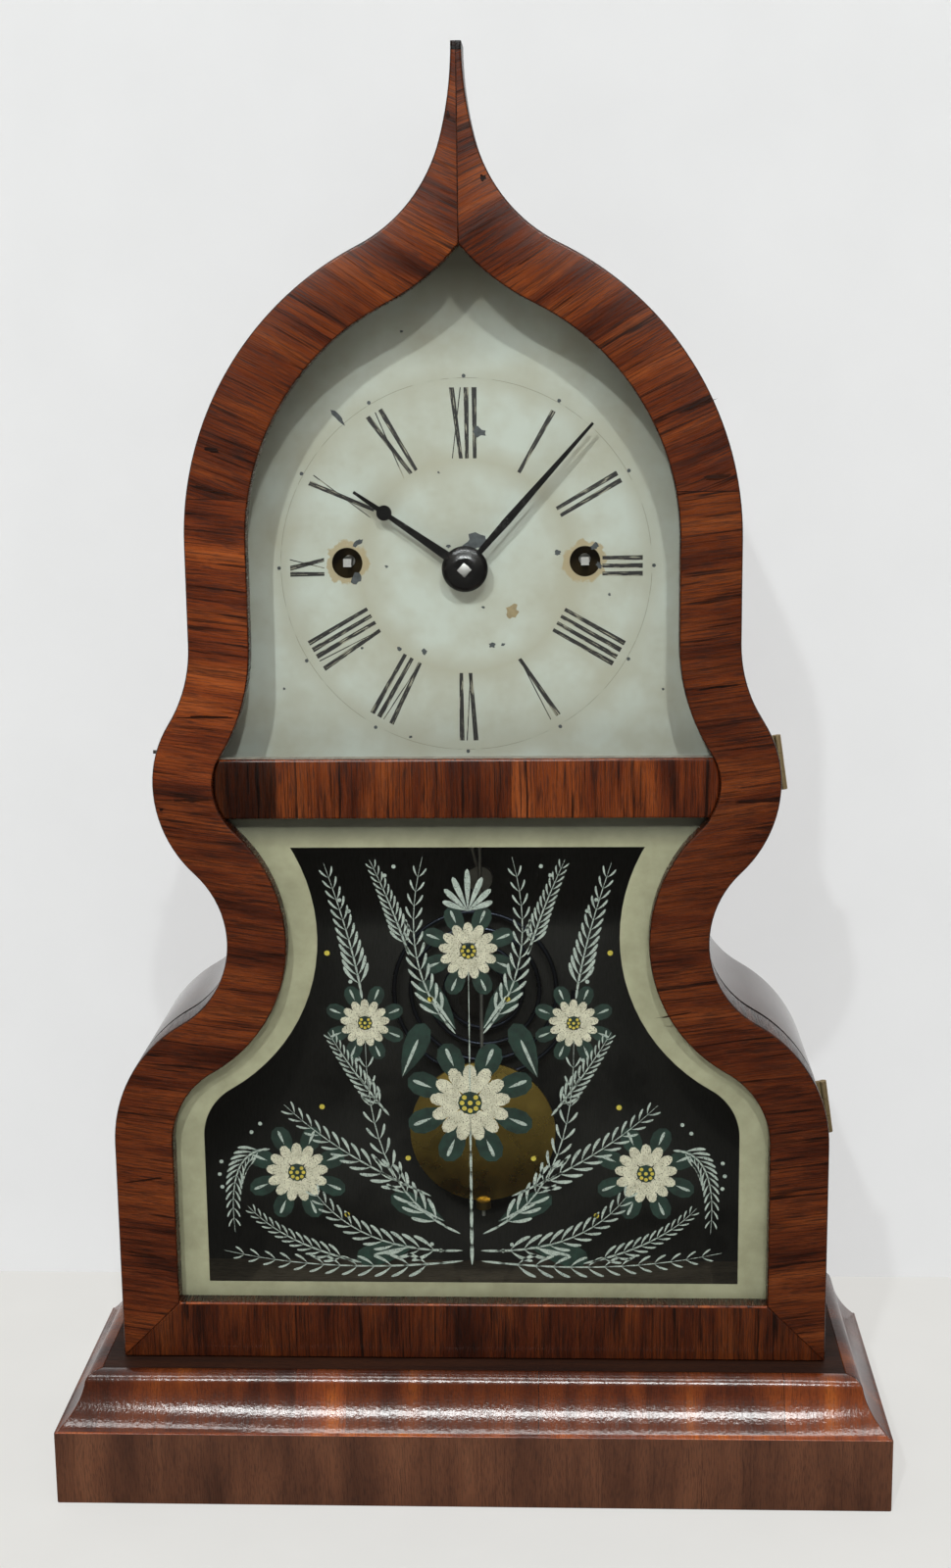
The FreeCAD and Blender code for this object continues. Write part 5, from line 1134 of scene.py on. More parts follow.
@dataclass
class Door:
    """The door's frame: two bent stiles, a mitred bottom rail and a recessed middle rail, cross-banded."""

    stiles: Bent = field(default_factory=lambda: Bent(DOOR_FRONT, DOOR_BACK, STILE_WIDTH, GLASS_FRONT,
                                                      groove=2.8 * MM))
    bottom: float = 56.6 * MM
    bottom_edge: float = 0.8 * MM
    bottom_tone: float = 0.5
    seam: float = 0.22 * MM
    seams: tuple[float, ...] = (313.2 * MM, 442.5 * MM)
    seam_shifts: tuple[float, ...] = (-0.8 * MM, 0.7 * MM)
    tones: dict[int, tuple[float, ...]] = field(
        default_factory=lambda: {1: (0.62, 0.68, 0.86), -1: (0.76, 1.12, 0.9)})
    fan: float = 0.3
    slope: float = 0.45
    lower_slope: float = 0.13
    joint: float = 0.28 * MM
    rail_edge: float = 1.2 * MM
    rail_joints: tuple[float, ...] = (-81.5 * MM, 19.5 * MM)
    rail_tones: tuple[float, ...] = (0.2, 0.74, 0.9)
    rail_seam_tone: float = 0.3
    # Painted highlight and wear along the rails' upper front edges.
    worn: Place = (0.7 * MM, 0.9 * MM)
    glint_and_wear_tone: float = 1.5
    chips: tuple[tuple[float, float, float, float, float], ...] = (
        (-3.4, 593.4, 0.8, 1.5, 0), (10.4, 569.1, 1.2, 1.3, 0), (-109.5, 349.8, 12.5, 0.55, 0),
        (-117.0, 313.8, 7.5, 0.85, -2), (-130.5, 309.9, 1.2, 0.6, 0), (108.5, 361.8, 9.0, 0.5, -8),
        (122.0, 312.6, 9.0, 0.75, -4), (-145.0, 141.0, 11.0, 0.5, -8), (-147.0, 105.8, 10.5, 0.5, 12),
        (90.0, 218.0, 8.0, 0.4, -10), (-104.8, 445.4, 7.6, 0.8, 17), (-103.0, 462.0, 3.4, 1.0, 10),
        (105.0, 449.0, 6.0, 1.2, -8), (98.0, 478.0, 8.0, 0.5, -22))
    chip_lift: float = 0.03 * MM
    chip_tone: float = 0.16
    edge: float = 0.7 * MM
    edge_tone: float = 0.32
    # Painted shade in the groove at the door's back edge; the same tone darkens the tip's top, over the
    # height below.
    shade_and_tip_tone: float = 0.06
    smoked: float = 4 * MM
    dust_ends: float = 6 * MM
    dust_front: float = 1.3 * MM
    dust_lift: float = 0.02 * MM

    def build(self, finish: Finish, dust: Finish) -> None:
        """Builds the four members of the frame, the dust and painted sheen on the middle rail, and the chips.

        Args:
            finish: the veneer.
            dust: the coat of dust and painted sheen on the middle rail's upper side.
        """
        for hand, node in ((1, "door_right_stile"), (-1, "door_left_stile")):
            self.stile(hand, node, finish)
        bm = new_bmesh("door_bottom_rail")
        soften(bm, self.bottom_edge, sharp=60.0, test=lambda spot: spot.y < self.stiles.front + TOUCH)
        lay_grain(bm, lambda spot: (spot.z + spot.y, spot.x + 5),
                  lambda spot: self.rubbed("door_bottom_rail", spot, self.bottom_tone))
        piece(bm, "door_bottom_rail_veneer", "door", finish, ["door_bottom_rail"])
        bm = new_bmesh("door_mid_rail")
        soften(bm, self.rail_edge, sharp=60.0, test=lambda spot: spot.y < self.stiles.front + 2 * MM)
        for joint in self.rail_joints:
            score(bm, Vector((joint, 0, 0)), Vector((1, 0, 0)), self.seam)
        lay_grain(bm, lambda spot: (spot.z + spot.y, spot.x + 7), self.rail_leaf)
        piece(bm, "door_mid_rail_veneer", "door", finish, ["door_mid_rail"])
        self.dusty(dust)
        self.chipped(finish)

    def dusty(self, dust: Finish) -> None:
        """Lays the dust and painted sheen on the middle rail, in front of the glass.

        Args:
            dust: the coat of dust and painted sheen.
        """
        low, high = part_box("door_mid_rail")
        near = low.y + self.dust_front
        far = GLASS_FRONT - TOUCH
        bm = new_bmesh()
        made = bmesh.ops.create_grid(bm, x_segments=1, y_segments=1, size=0.5)
        place = (Matrix.Translation((0, (near + far) / 2, high.z + self.dust_lift))
                 @ Matrix.Diagonal((high.x - low.x - 2 * self.dust_ends, far - near, 1, 1)))
        bmesh.ops.transform(bm, matrix=place, verts=made["verts"])
        piece(bm, "door_mid_rail_dust_and_sheen", "door", dust, closed=False)

    def chipped(self, finish: Finish) -> None:
        """Darkens the places where chips of the veneer are lost.

        Args:
            finish: the veneer.
        """
        bm = new_bmesh()
        for number, (across, level, wide, tall, turn) in enumerate(self.chips):
            spot = Vector((across * MM, self.stiles.front - self.chip_lift, level * MM))
            blot(bm, spot, (wide * MM, tall * MM), math.radians(turn), ragged=0.35, seed=number)
        lay_grain(bm, lambda spot: (spot.x, spot.z), lambda spot: self.chip_tone)
        piece(bm, "door_veneer_chips", "door", finish, closed=False)

    def rubbed(self, node: str, spot: Vector, tone: float) -> float:
        """Gives a rail's tone, paler along its upper front edge, where it is rubbed and where a painted
        highlight lies.

        Args:
            node: the rail's CAD node.
            spot: the middle of a face.
            tone: the rail's tone elsewhere.

        Returns:
            The tone.
        """
        low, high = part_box(node)
        depth, height = self.worn
        return self.glint_and_wear_tone if spot.z > high.z - height and spot.y < low.y + depth else tone

    def rail_leaf(self, spot: Vector) -> float:
        """Gives the tone of the middle rail's veneer, leaf by leaf.

        Args:
            spot: the middle of a face.

        Returns:
            The tone.
        """
        if any(abs(spot.x - joint) < self.seam for joint in self.rail_joints):
            return self.rail_seam_tone
        tone = self.rail_tones[sum(spot.x > joint for joint in self.rail_joints)]
        return self.rubbed("door_mid_rail", spot, tone)

    def stile(self, hand: int, node: str, finish: Finish) -> None:
        """Builds one stile with its veneer leaves.

        Args:
            hand: 1 for the right stile, -1 for the left.
            node: the CAD node it stands for.
            finish: the veneer.
        """
        bm = self.stiles.build(self.bottom, True)
        marks = [level + hand * shift for level, shift in zip(self.seams, self.seam_shifts)]
        for mark in marks:
            score(bm, Vector((0, 0, mark)), Vector((0, 0, 1)), self.seam)
        heel = Vector((LINE.foot[0], 0, self.bottom))
        mitre = Vector((1, 0, 1)).normalized()
        cut(bm, heel + self.joint * mitre, mitre)
        cut(bm, Vector((self.joint, 0, 0)), Vector((1, 0, 0)))

        def leaf(spot: Vector) -> float:
            """Gives the tone of a leaf: dark in joints and along the edges, painted shade in the groove at
            the back edge, and darker at the tip's top.

            Args:
                spot: the middle of a face.

            Returns:
                The tone.
            """
            inset = LINE.locate(spot)[1]
            # Darker at the tip's top, and painted shade in the groove along the back edge.
            if spot.z > LINE.tip[1] - self.smoked or spot.y > self.stiles.back - 1.1 * self.stiles.groove:
                return self.shade_and_tip_tone
            if not self.edge <= inset <= self.stiles.width - self.edge or spot.x < self.joint:
                return self.edge_tone
            if any(abs(spot.z - mark) < self.seam for mark in marks) or (spot - heel).dot(mitre) < self.joint:
                return self.edge_tone
            return self.tones[hand][sum(spot.z > mark for mark in marks)]

        def grain(spot: Vector) -> Place:
            """Gives the grain's coordinates: level on the lower leaves, fanned out on the top one.

            Args:
                spot: a point.

            Returns:
                The way along the grain and across it.
            """
            across = spot.z - self.lower_slope * spot.x
            if spot.z > marks[-1]:
                across = self.fan * LINE.locate(spot)[0] + (1 - self.fan) * (spot.z - self.slope * spot.x)
            return spot.x + spot.y - self.stiles.front, across + 2 * hand

        lay_grain(bm, grain, leaf)
        if hand < 0:
            bmesh.ops.scale(bm, vec=(-1, 1, 1), verts=bm.verts)
        piece(bm, f"{node}_veneer", "door", finish, [node])


class Stroke(Enum):
    """Strokes of a numeral: where each starts outside and ends inside, and if it is a thick one."""

    I = ((0.5, 0.5, True),)
    V = ((0.14, 0.55, True), (0.9, 0.55, False))
    X = ((0.16, 0.84, True), (0.86, 0.16, False))


@dataclass
class Dial:
    """Numerals, hour dots, a circle and paint losses on the dial."""

    center: Place = DIAL_CENTER
    face: float = DIAL_FACE
    lift: float = 0.03 * MM
    inner: float = 46.4 * MM
    outer: float = 76.4 * MM
    short: dict[int, float] = field(default_factory=lambda: {3: 59.0 * MM, 9: 61.5 * MM})
    thick: Place = (2.15 * MM, 1.6 * MM)
    thin: Place = (0.5 * MM, 0.4 * MM)
    advance: Triple = (3.4 * MM, 5.2 * MM, 5.4 * MM)
    dots: float = 81.2 * MM
    dot: float = 0.82 * MM
    circle: float = 80.4 * MM
    circle_half: float = 0.07 * MM
    ground_spot: Place = (19.8 * MM, -19.6 * MM)
    ground_half: Place = (2.6 * MM, 3.2 * MM)
    numerals: tuple[str, ...] = ("XII", "I", "II", "III", "IIII", "V", "VI", "VII", "VIII", "IX", "X", "XI")
    losses: tuple[tuple[float, float, float, float, float], ...] = (
        (-54.3, 64.7, 4.2, 1.0, 48), (6.4, 57.5, 2.7, 2.1, 20), (4.8, 10.9, 5.4, 3.1, -8),
        (-7.5, 8.9, 1.0, 0.8, 0), (-47.4, -4.2, 2.4, 2.8, 30), (-46.6, 10.8, 2.2, 1.1, -40),
        (39.6, 5.8, 1.4, 1.1, 0), (55.8, 8.4, 2.2, 1.4, -30), (57.6, 0.2, 1.8, 1.0, 60),
        (11.1, -34.2, 1.5, 1.2, 10), (15.8, -34.0, 0.8, 0.7, 0), (-18.6, -37.0, 1.4, 1.1, 50),
        (-29.6, -35.6, 1.1, 0.9, 0), (7.4, -17.7, 0.8, 0.6, 0), (-34.4, 0.4, 0.7, 0.6, 0),
        (62.0, -12.4, 0.6, 0.6, 0), (-45.8, -35.2, 0.7, 0.6, 0), (-11.2, 40.5, 0.6, 0.4, 40),
        (-25.3, -74.7, 0.8, 0.6, 0), (-80.5, -53.0, 0.6, 0.6, 0), (85.5, -54.0, 0.6, 0.5, 0),
        (-26.0, 100.0, 0.8, 0.5, 0),
    )

    def at(self, out: float, side: float, bearing: float) -> Vector:
        """Finds a point just off the dial's face.

        Args:
            out: distance from the centre.
            side: distance clockwise of the bearing.
            bearing: clockwise from twelve, in radians.

        Returns:
            The point.
        """
        across = self.center[0] + out * math.sin(bearing) + side * math.cos(bearing)
        level = self.center[1] + out * math.cos(bearing) - side * math.sin(bearing)
        return Vector((across, self.face - self.lift, level))

    def bar(self, bm: BMesh, ends: Sequence[Triple], bearing: float, mark: float) -> None:
        """Adds one tapering stroke.

        Args:
            bm: the mesh.
            ends: distance out, side and half width of each end.
            bearing: the numeral's bearing.
            mark: shifts the wear so that no two strokes match.
        """
        uv = bm.loops.layers.uv.verify()
        (far, far_side, far_half), (near, near_side, near_half) = ends
        spots = [(far, far_side - far_half, -far_half), (far, far_side + far_half, far_half),
                 (near, near_side + near_half, near_half), (near, near_side - near_half, -near_half)]
        face = bm.faces.new([bm.verts.new(self.at(out, side, bearing)) for out, side, _ in spots])
        for loop, (out, _, across) in zip(face.loops, spots):
            loop[uv].uv = (across + mark, out + mark)

    def numeral(self, bm: BMesh, hour: int) -> None:
        """Adds one numeral, its feet towards the centre.

        Args:
            bm: the mesh.
            hour: the hour, twelve as 0.
        """
        bearing = math.radians(30 * hour)
        signs = [Stroke[sign] for sign in self.numerals[hour]]
        widths = [self.advance[list(Stroke).index(sign)] for sign in signs]
        side = -sum(widths) / 2
        inner = self.short.get(hour, self.inner)
        for place, (sign, width) in enumerate(zip(signs, widths)):
            for turn, (outside, inside, heavy) in enumerate(sign.value):
                full = self.thick if heavy else self.thin
                ends = [(self.outer, side + outside * width, full[0] / 2),
                        (inner, side + inside * width, full[1] / 2)]
                self.bar(bm, ends, bearing, 0.13 * hour + 0.037 * place + 0.011 * turn)
            side += width

    def lay(self, bm: BMesh, name: str, paint: Finish) -> None:
        """Makes a flat mesh a coat on the dial."""
        piece(bm, name, "case", paint, closed=False)

    def build(self, ink: Finish, faint: Finish, bare: Finish, tan: Finish) -> None:
        """Builds everything painted on or lost from the dial.

        Args:
            ink: the numerals' paint.
            faint: the circle's paint, nearly worn off.
            bare: the metal under the paint.
            tan: the ground coat, where only the top coat is lost.
        """
        bm = new_bmesh()
        for hour in range(12):
            self.numeral(bm, hour)
        self.lay(bm, "dial_numerals", ink)
        bm = new_bmesh()
        for hour in range(12):
            spot = self.at(self.dots, 0.0, math.radians(30 * hour))
            blot(bm, spot, (self.dot, self.dot), turn=0.0, ragged=0.08, seed=hour)
        self.lay(bm, "dial_hour_dots", bare)
        bm = new_bmesh()
        sides = (self.circle - self.circle_half, self.circle + self.circle_half)
        verts = [bm.verts.new(self.at(out, 0.0, 0.0)) for out in sides]
        bmesh.ops.spin(bm, geom=verts + [bm.edges.new(verts)], cent=(self.center[0], 0.0, self.center[1]),
                       axis=(0, 1, 0), dvec=(0, 0, 0), angle=2 * math.pi, steps=120, use_merge=True,
                       use_duplicate=False)
        bmesh.ops.remove_doubles(bm, verts=bm.verts, dist=0.005 * MM)
        lay_grain(bm, lambda spot: (spot.x * 0.4, spot.z * 0.4), lambda spot: 1.0)
        self.lay(bm, "dial_circles", faint)
        bm = new_bmesh()
        for number, (across, up, wide, tall, turn) in enumerate(self.losses):
            spot = Vector((across * MM, self.face - 1.4 * self.lift, self.center[1] + up * MM))
            blot(bm, spot, (wide * MM, tall * MM), math.radians(turn), ragged=0.34, seed=number)
        self.lay(bm, "dial_paint_losses", bare)
        bm = new_bmesh()
        across, up = self.ground_spot
        spot = Vector((across, self.face - self.lift, self.center[1] + up))
        blot(bm, spot, self.ground_half, turn=0.3, ragged=0.3, seed=77)
        self.lay(bm, "dial_ground_coat", tan)


@dataclass
class PaintedTablet:
    """The painting behind the lower glass: a plain border, and a spray of flowers and fine flourishes."""

    back: float = GLASS_BACK
    border: float = 38.4 * MM
    hidden: float = 21 * MM
    low: Place = (77.5 * MM, 88.6 * MM)
    high: Place = (310.0 * MM, 290.5 * MM)
    layer: float = 0.03 * MM

    def loop(self, bm: BMesh, inset: float, bottom: float, top: float) -> None:
        """Draws a closed line inside the outline.

        Args:
            bm: the mesh.
            inset: how far inside the outline its sides run.
            bottom: the level of its lower edge.
            top: the level of its upper edge.
        """
        depth = self.back + self.layer
        start = bm.verts.new((LINE.foot[0] - inset, depth, bottom))
        before = set(bm.verts) - {start}

        def drawn() -> tuple[list, list]:
            """Collects the new line's vertices and edges."""
            verts = [vert for vert in bm.verts if vert not in before]
            return verts, list({edge for vert in verts for edge in vert.link_edges})

        LINE.sweep(bm, [start], bottom)
        own, edges = drawn()
        bmesh.ops.bisect_plane(bm, geom=own + edges, dist=0.001 * MM, plane_co=(0, 0, top),
                               plane_no=(0, 0, 1), clear_outer=True)
        own, edges = drawn()
        made = bmesh.ops.mirror(bm, geom=own + edges, matrix=Matrix.Identity(4), merge_dist=0.0, axis="X")
        twins = [item for item in made["geom"] if isinstance(item, bmesh.types.BMVert)]
        for level in (min, max):
            ends = [level(group, key=lambda vert: vert.co.z) for group in (own, twins)]
            bm.edges.new(ends)

    def build(self, border: Finish, cream: Finish, pale: Finish, green: Finish, yellow: Finish) -> None:
        """Builds the border and the spray.

        Args:
            border: the border's paint.
            cream: the petals' paint.
            pale: the flourishes' paint.
            green: the leaves' paint.
            yellow: the stamens' paint.
        """
        bm = new_bmesh()
        self.loop(bm, self.hidden, self.low[0], self.high[0])
        self.loop(bm, self.border, self.low[1], self.high[1])
        bmesh.ops.triangle_fill(bm, use_beauty=True, use_dissolve=False, edges=bm.edges[:], normal=(0, -1, 0))
        piece(bm, "tablet_border", "door", border, closed=False)
        spray = Spray(self.back + self.layer)
        spray.paint()
        coats = ((spray.petals, "tablet_petals", cream), (spray.marks, "tablet_flourishes", pale),
                 (spray.leaves, "tablet_leaves", green), (spray.stamens, "tablet_stamens", yellow))
        for bm, name, paint in coats:
            piece(bm, name, "door", paint, closed=False)


@dataclass
class Spray:
    """A folk spray: daisies on a stem and two side sprays, with comma strokes, leaves and dots.

    Its places and sizes are in millimetres, across and up, and the right half is painted on both sides.
    """

    depth: float
    petals: BMesh = field(default_factory=new_bmesh)
    marks: BMesh = field(default_factory=new_bmesh)
    leaves: BMesh = field(default_factory=new_bmesh)
    stamens: BMesh = field(default_factory=new_bmesh)
    layer: float = 0.03 * MM
    trunk: tuple[Place, Place, Place] = ((0, 97), (0, 150), (0, 236))
    middle_flowers: tuple[tuple[Place, float], ...] = (((0, 174), 18), ((0, 244), 13))
    side_flowers: tuple[tuple[Place, float], ...] = (((78, 141), 14), ((46, 211), 11))
    plume: Place = (0, 262)
    fronds: tuple[tuple[tuple[Place, Place, Place], float], ...] = (
        (((4, 99), (62, 92), (110, 103)), 10), (((4, 104), (52, 102), (72, 134)), 11),
        (((5, 112), (46, 130), (46, 200)), 11), (((90, 152), (110, 152), (107, 114)), 9),
        (((47, 222), (50, 246), (62, 282)), 10), (((6, 206), (32, 236), (20, 284)), 10),
        (((18, 130), (58, 148), (82, 172)), 11), (((36, 168), (52, 188), (62, 206)), 8),
        (((26, 242), (32, 262), (42, 284)), 8), (((50, 98), (84, 106), (100, 124)), 8),
    )
    blades: tuple[tuple[Place, float], ...] = (((12, 118), 1.1), ((26, 106), 1.8), ((6, 208), 0.6),
                                               ((30, 186), -0.4))
    dots: tuple[Place, ...] = ((112, 134), (113, 140), (112, 146), (32, 282), (36, 278), (52, 262), (56, 267),
                               (14, 104), (18, 107), (98, 160), (94, 164), (52, 230), (50, 194), (57, 196))
    sparks: tuple[Place, ...] = ((56, 121), (28, 148), (66, 172), (17, 222), (62, 243))

    def at(self, spot: Place, layer: int) -> Vector:
        """Finds a point of the painting, some coats behind the first."""
        return Vector((spot[0] * MM, self.depth + layer * self.layer, spot[1] * MM))

    def out(self, spot: Place, reach: float, bearing: float) -> Place:
        """Finds the place at a distance and a clockwise bearing from a spot."""
        return spot[0] + reach * math.sin(bearing), spot[1] + reach * math.cos(bearing)

    def dab(self, bm: BMesh, spot: Place, size: Place, bearing: float, layer: int = 0, point: float = 0.8,
            bend: float = 0.0) -> None:
        """Adds one brush dab, its tail at the given spot.

        Args:
            bm: the mesh.
            spot: where the dab starts.
            size: its length and width.
            bearing: the way it points, clockwise from up, in radians.
            layer: how many coats it lies behind the first.
            point: how sharply its tail narrows.
            bend: how far it curls to its right, as a share of its length.
        """
        made = bmesh.ops.create_circle(bm, cap_ends=True, radius=0.5, segments=12)
        for vert in made["verts"]:
            vert.co.y += 0.5
            vert.co.x *= max(0.06, vert.co.y) ** point * 1.3
            vert.co.x += bend * vert.co.y ** 2 * size[0] / size[1]
        face_front(bm, made["verts"], self.at(spot, layer), (size[1] * MM, size[0] * MM), bearing)

    def dot(self, bm: BMesh, spot: Place, radius: float, layer: int = 0) -> None:
        """Adds one round dot."""
        made = bmesh.ops.create_circle(bm, cap_ends=True, radius=1.0, segments=12)
        face_front(bm, made["verts"], self.at(spot, layer), (radius * MM, radius * MM), 0.0)

    def daisy(self, spot: Place, radius: float) -> None:
        """Paints a daisy with two rings of petals and a dotted heart.

        Args:
            spot: its middle.
            radius: its size.
        """
        for ring, (count, reach, wide) in enumerate(((13, 1.0, 0.34), (9, 0.66, 0.3))):
            for number in range(count):
                bearing = 2 * math.pi * (number + 0.5 * ring) / count
                start = self.out(spot, 0.2 * radius, bearing)
                self.dab(self.petals, start, (0.8 * radius * reach, wide * radius), bearing, layer=1 - ring,
                         point=0.5)
        self.dot(self.leaves, spot, 0.3 * radius, layer=-1)
        for number in range(8):
            reach = 0.2 * radius if number else 0.0
            self.dot(self.stamens, self.out(spot, reach, 2 * math.pi * number / 8), 0.06 * radius, layer=-2)

    def stem(self, start: Place, bend: Place, end: Place, wide: float) -> list[tuple[Place, float]]:
        """Paints one curved stem as a chain of short tapering dabs.

        Args:
            start: where it starts.
            bend: the point its curve is drawn to.
            end: where it ends.
            wide: its width.

        Returns:
            Points along the stem, each with its bearing.
        """
        count = 14
        spots = []
        for number in range(count + 1):
            t = number / count
            spots.append(tuple((1 - t) ** 2 * a + 2 * t * (1 - t) * b + t * t * c
                               for a, b, c in zip(start, bend, end)))
        marks = []
        for number, (here, after) in enumerate(zip(spots, spots[1:])):
            bearing = math.atan2(after[0] - here[0], after[1] - here[1])
            length = math.dist(here, after)
            self.dab(self.marks, here, (1.35 * length, wide * (1.15 - number / count)), bearing, point=0.25)
            marks.append((here, bearing))
        return marks

    def frond(self, start: Place, bend: Place, end: Place, size: float) -> None:
        """Paints a stem with comma strokes on both sides, smaller towards its end.

        Args:
            start: where the stem starts.
            bend: the point its curve is drawn to.
            end: where it ends.
            size: the length of its longest strokes.
        """
        line = self.stem(start, bend, end, 0.9)
        for number, (spot, bearing) in enumerate(line[2:]):
            length = size * (1.0 - 0.6 * number / len(line))
            for side in (-1, 1):
                self.dab(self.marks, spot, (length, 0.2 * length), bearing + side * 0.85, point=0.9,
                         bend=-0.3 * side)

    def flower(self, spot: Place, radius: float) -> None:
        """Paints a daisy on a ring of dark leaves with pale ribs.

        Args:
            spot: its middle.
            radius: the daisy's size.
        """
        for number in range(8):
            bearing = math.pi * (number + 0.5) / 4
            start = self.out(spot, 0.5 * radius, bearing)
            self.dab(self.leaves, start, (1.15 * radius, 0.62 * radius), bearing, layer=3, point=0.4)
            rib = self.out(spot, 1.02 * radius, bearing)
            self.dab(self.marks, rib, (0.5 * radius, 0.1 * radius), bearing, layer=2, point=0.6)
        self.daisy(spot, radius)

    def paint(self) -> None:
        """Paints the whole spray."""
        self.stem(*self.trunk, 1.3)
        for spot, radius in self.middle_flowers:
            self.flower(spot, radius)
        for number in range(-3, 4):
            self.dab(self.marks, self.plume, (19 - 2.4 * abs(number), 3), number * 0.4)
        for side in (-1, 1):
            self.half(side)

    def half(self, side: int) -> None:
        """Paints one side of the spray.

        Args:
            side: 1 for the right side, -1 for the left.
        """
        def put(spot: Place) -> Place:
            """Moves a place to this side."""
            return side * spot[0], spot[1]

        for line, size in self.fronds:
            self.frond(*map(put, line), size)
        for spot, radius in self.side_flowers:
            self.flower(put(spot), radius)
        for spot, bearing in self.blades:
            self.dab(self.leaves, put(spot), (27, 11), side * bearing, layer=2, point=0.5)
            self.dab(self.marks, put(spot), (19, 1.5), side * bearing, layer=1, point=0.5)
        for spot in self.dots:
            self.dot(self.marks, put(spot), 0.9)
        for spot in self.sparks:
            self.dot(self.stamens, put(spot), 1.2)


@dataclass
class Movement:
    """Finishes of the CAD nodes that are shown as they are, and the square end of the centre arbor."""

    finishes: dict[str, Finish]
    special: dict[str, Finish]
    square: float = 4.5 * MM
    square_turn: float = math.radians(43)
    square_edge: float = 0.16 * MM
    cap: float = 0.5 * MM

    def end(self, finish: Finish) -> None:
        """Files the end of the centre arbor square.

        Args:
            finish: the steel.
        """
        low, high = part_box("center_arbor")
        bm = new_bmesh()
        made = bmesh.ops.create_cube(bm, size=1.0)
        place = (Matrix.Translation(((low.x + high.x) / 2, low.y + 0.3 * self.cap, (low.z + high.z) / 2))
                 @ Matrix.Rotation(self.square_turn, 4, "Y")
                 @ Matrix.Diagonal((self.square, self.cap, self.square, 1)))
        bmesh.ops.transform(bm, matrix=place, verts=made["verts"])
        soften(bm, self.square_edge)
        piece(bm, "center_arbor_square", "center", finish)

    def dress(self) -> None:
        """Gives every CAD node that is shown its finish, by its slot in the record."""
        for name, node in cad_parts.items():
            if node.hide_render:
                continue
            slot = node.material_slots[0].material.name.split(".")[0]
            for place in node.material_slots:
                place.material = self.special.get(name, self.finishes[slot])
            LOG.info("%s dressed as %s", name, slot)


class Reach(Enum):
    """Which surfaces a lamp shows on: matt ones and polished ones."""

    MATT = (True, False)
    POLISHED = (False, True)


@dataclass(frozen=True)
class Lamp:
    """One soft box, aimed at the middle of the clock."""

    name: str
    at: Triple
    size: Place
    power: float
    reach: Reach
    colour: str = "f9ffff"
    aim: Triple = (0.0, 0.0, 0.32)

    def hang(self) -> None:
        """Hangs the lamp in the studio."""
        data = bpy.data.lights.new(self.name, "AREA")
        data.shape = "RECTANGLE"
        data.size, data.size_y = self.size
        data.energy = self.power
        data.color = linear(self.colour)[:3]
        lamp = bpy.data.objects.new(self.name, data)
        lamp.location = self.at
        lamp.rotation_euler = (Vector(self.aim) - Vector(self.at)).to_track_quat("-Z", "Y").to_euler()
        lamp.visible_diffuse, lamp.visible_glossy = self.reach.value
        bpy.context.scene.collection.objects.link(lamp)


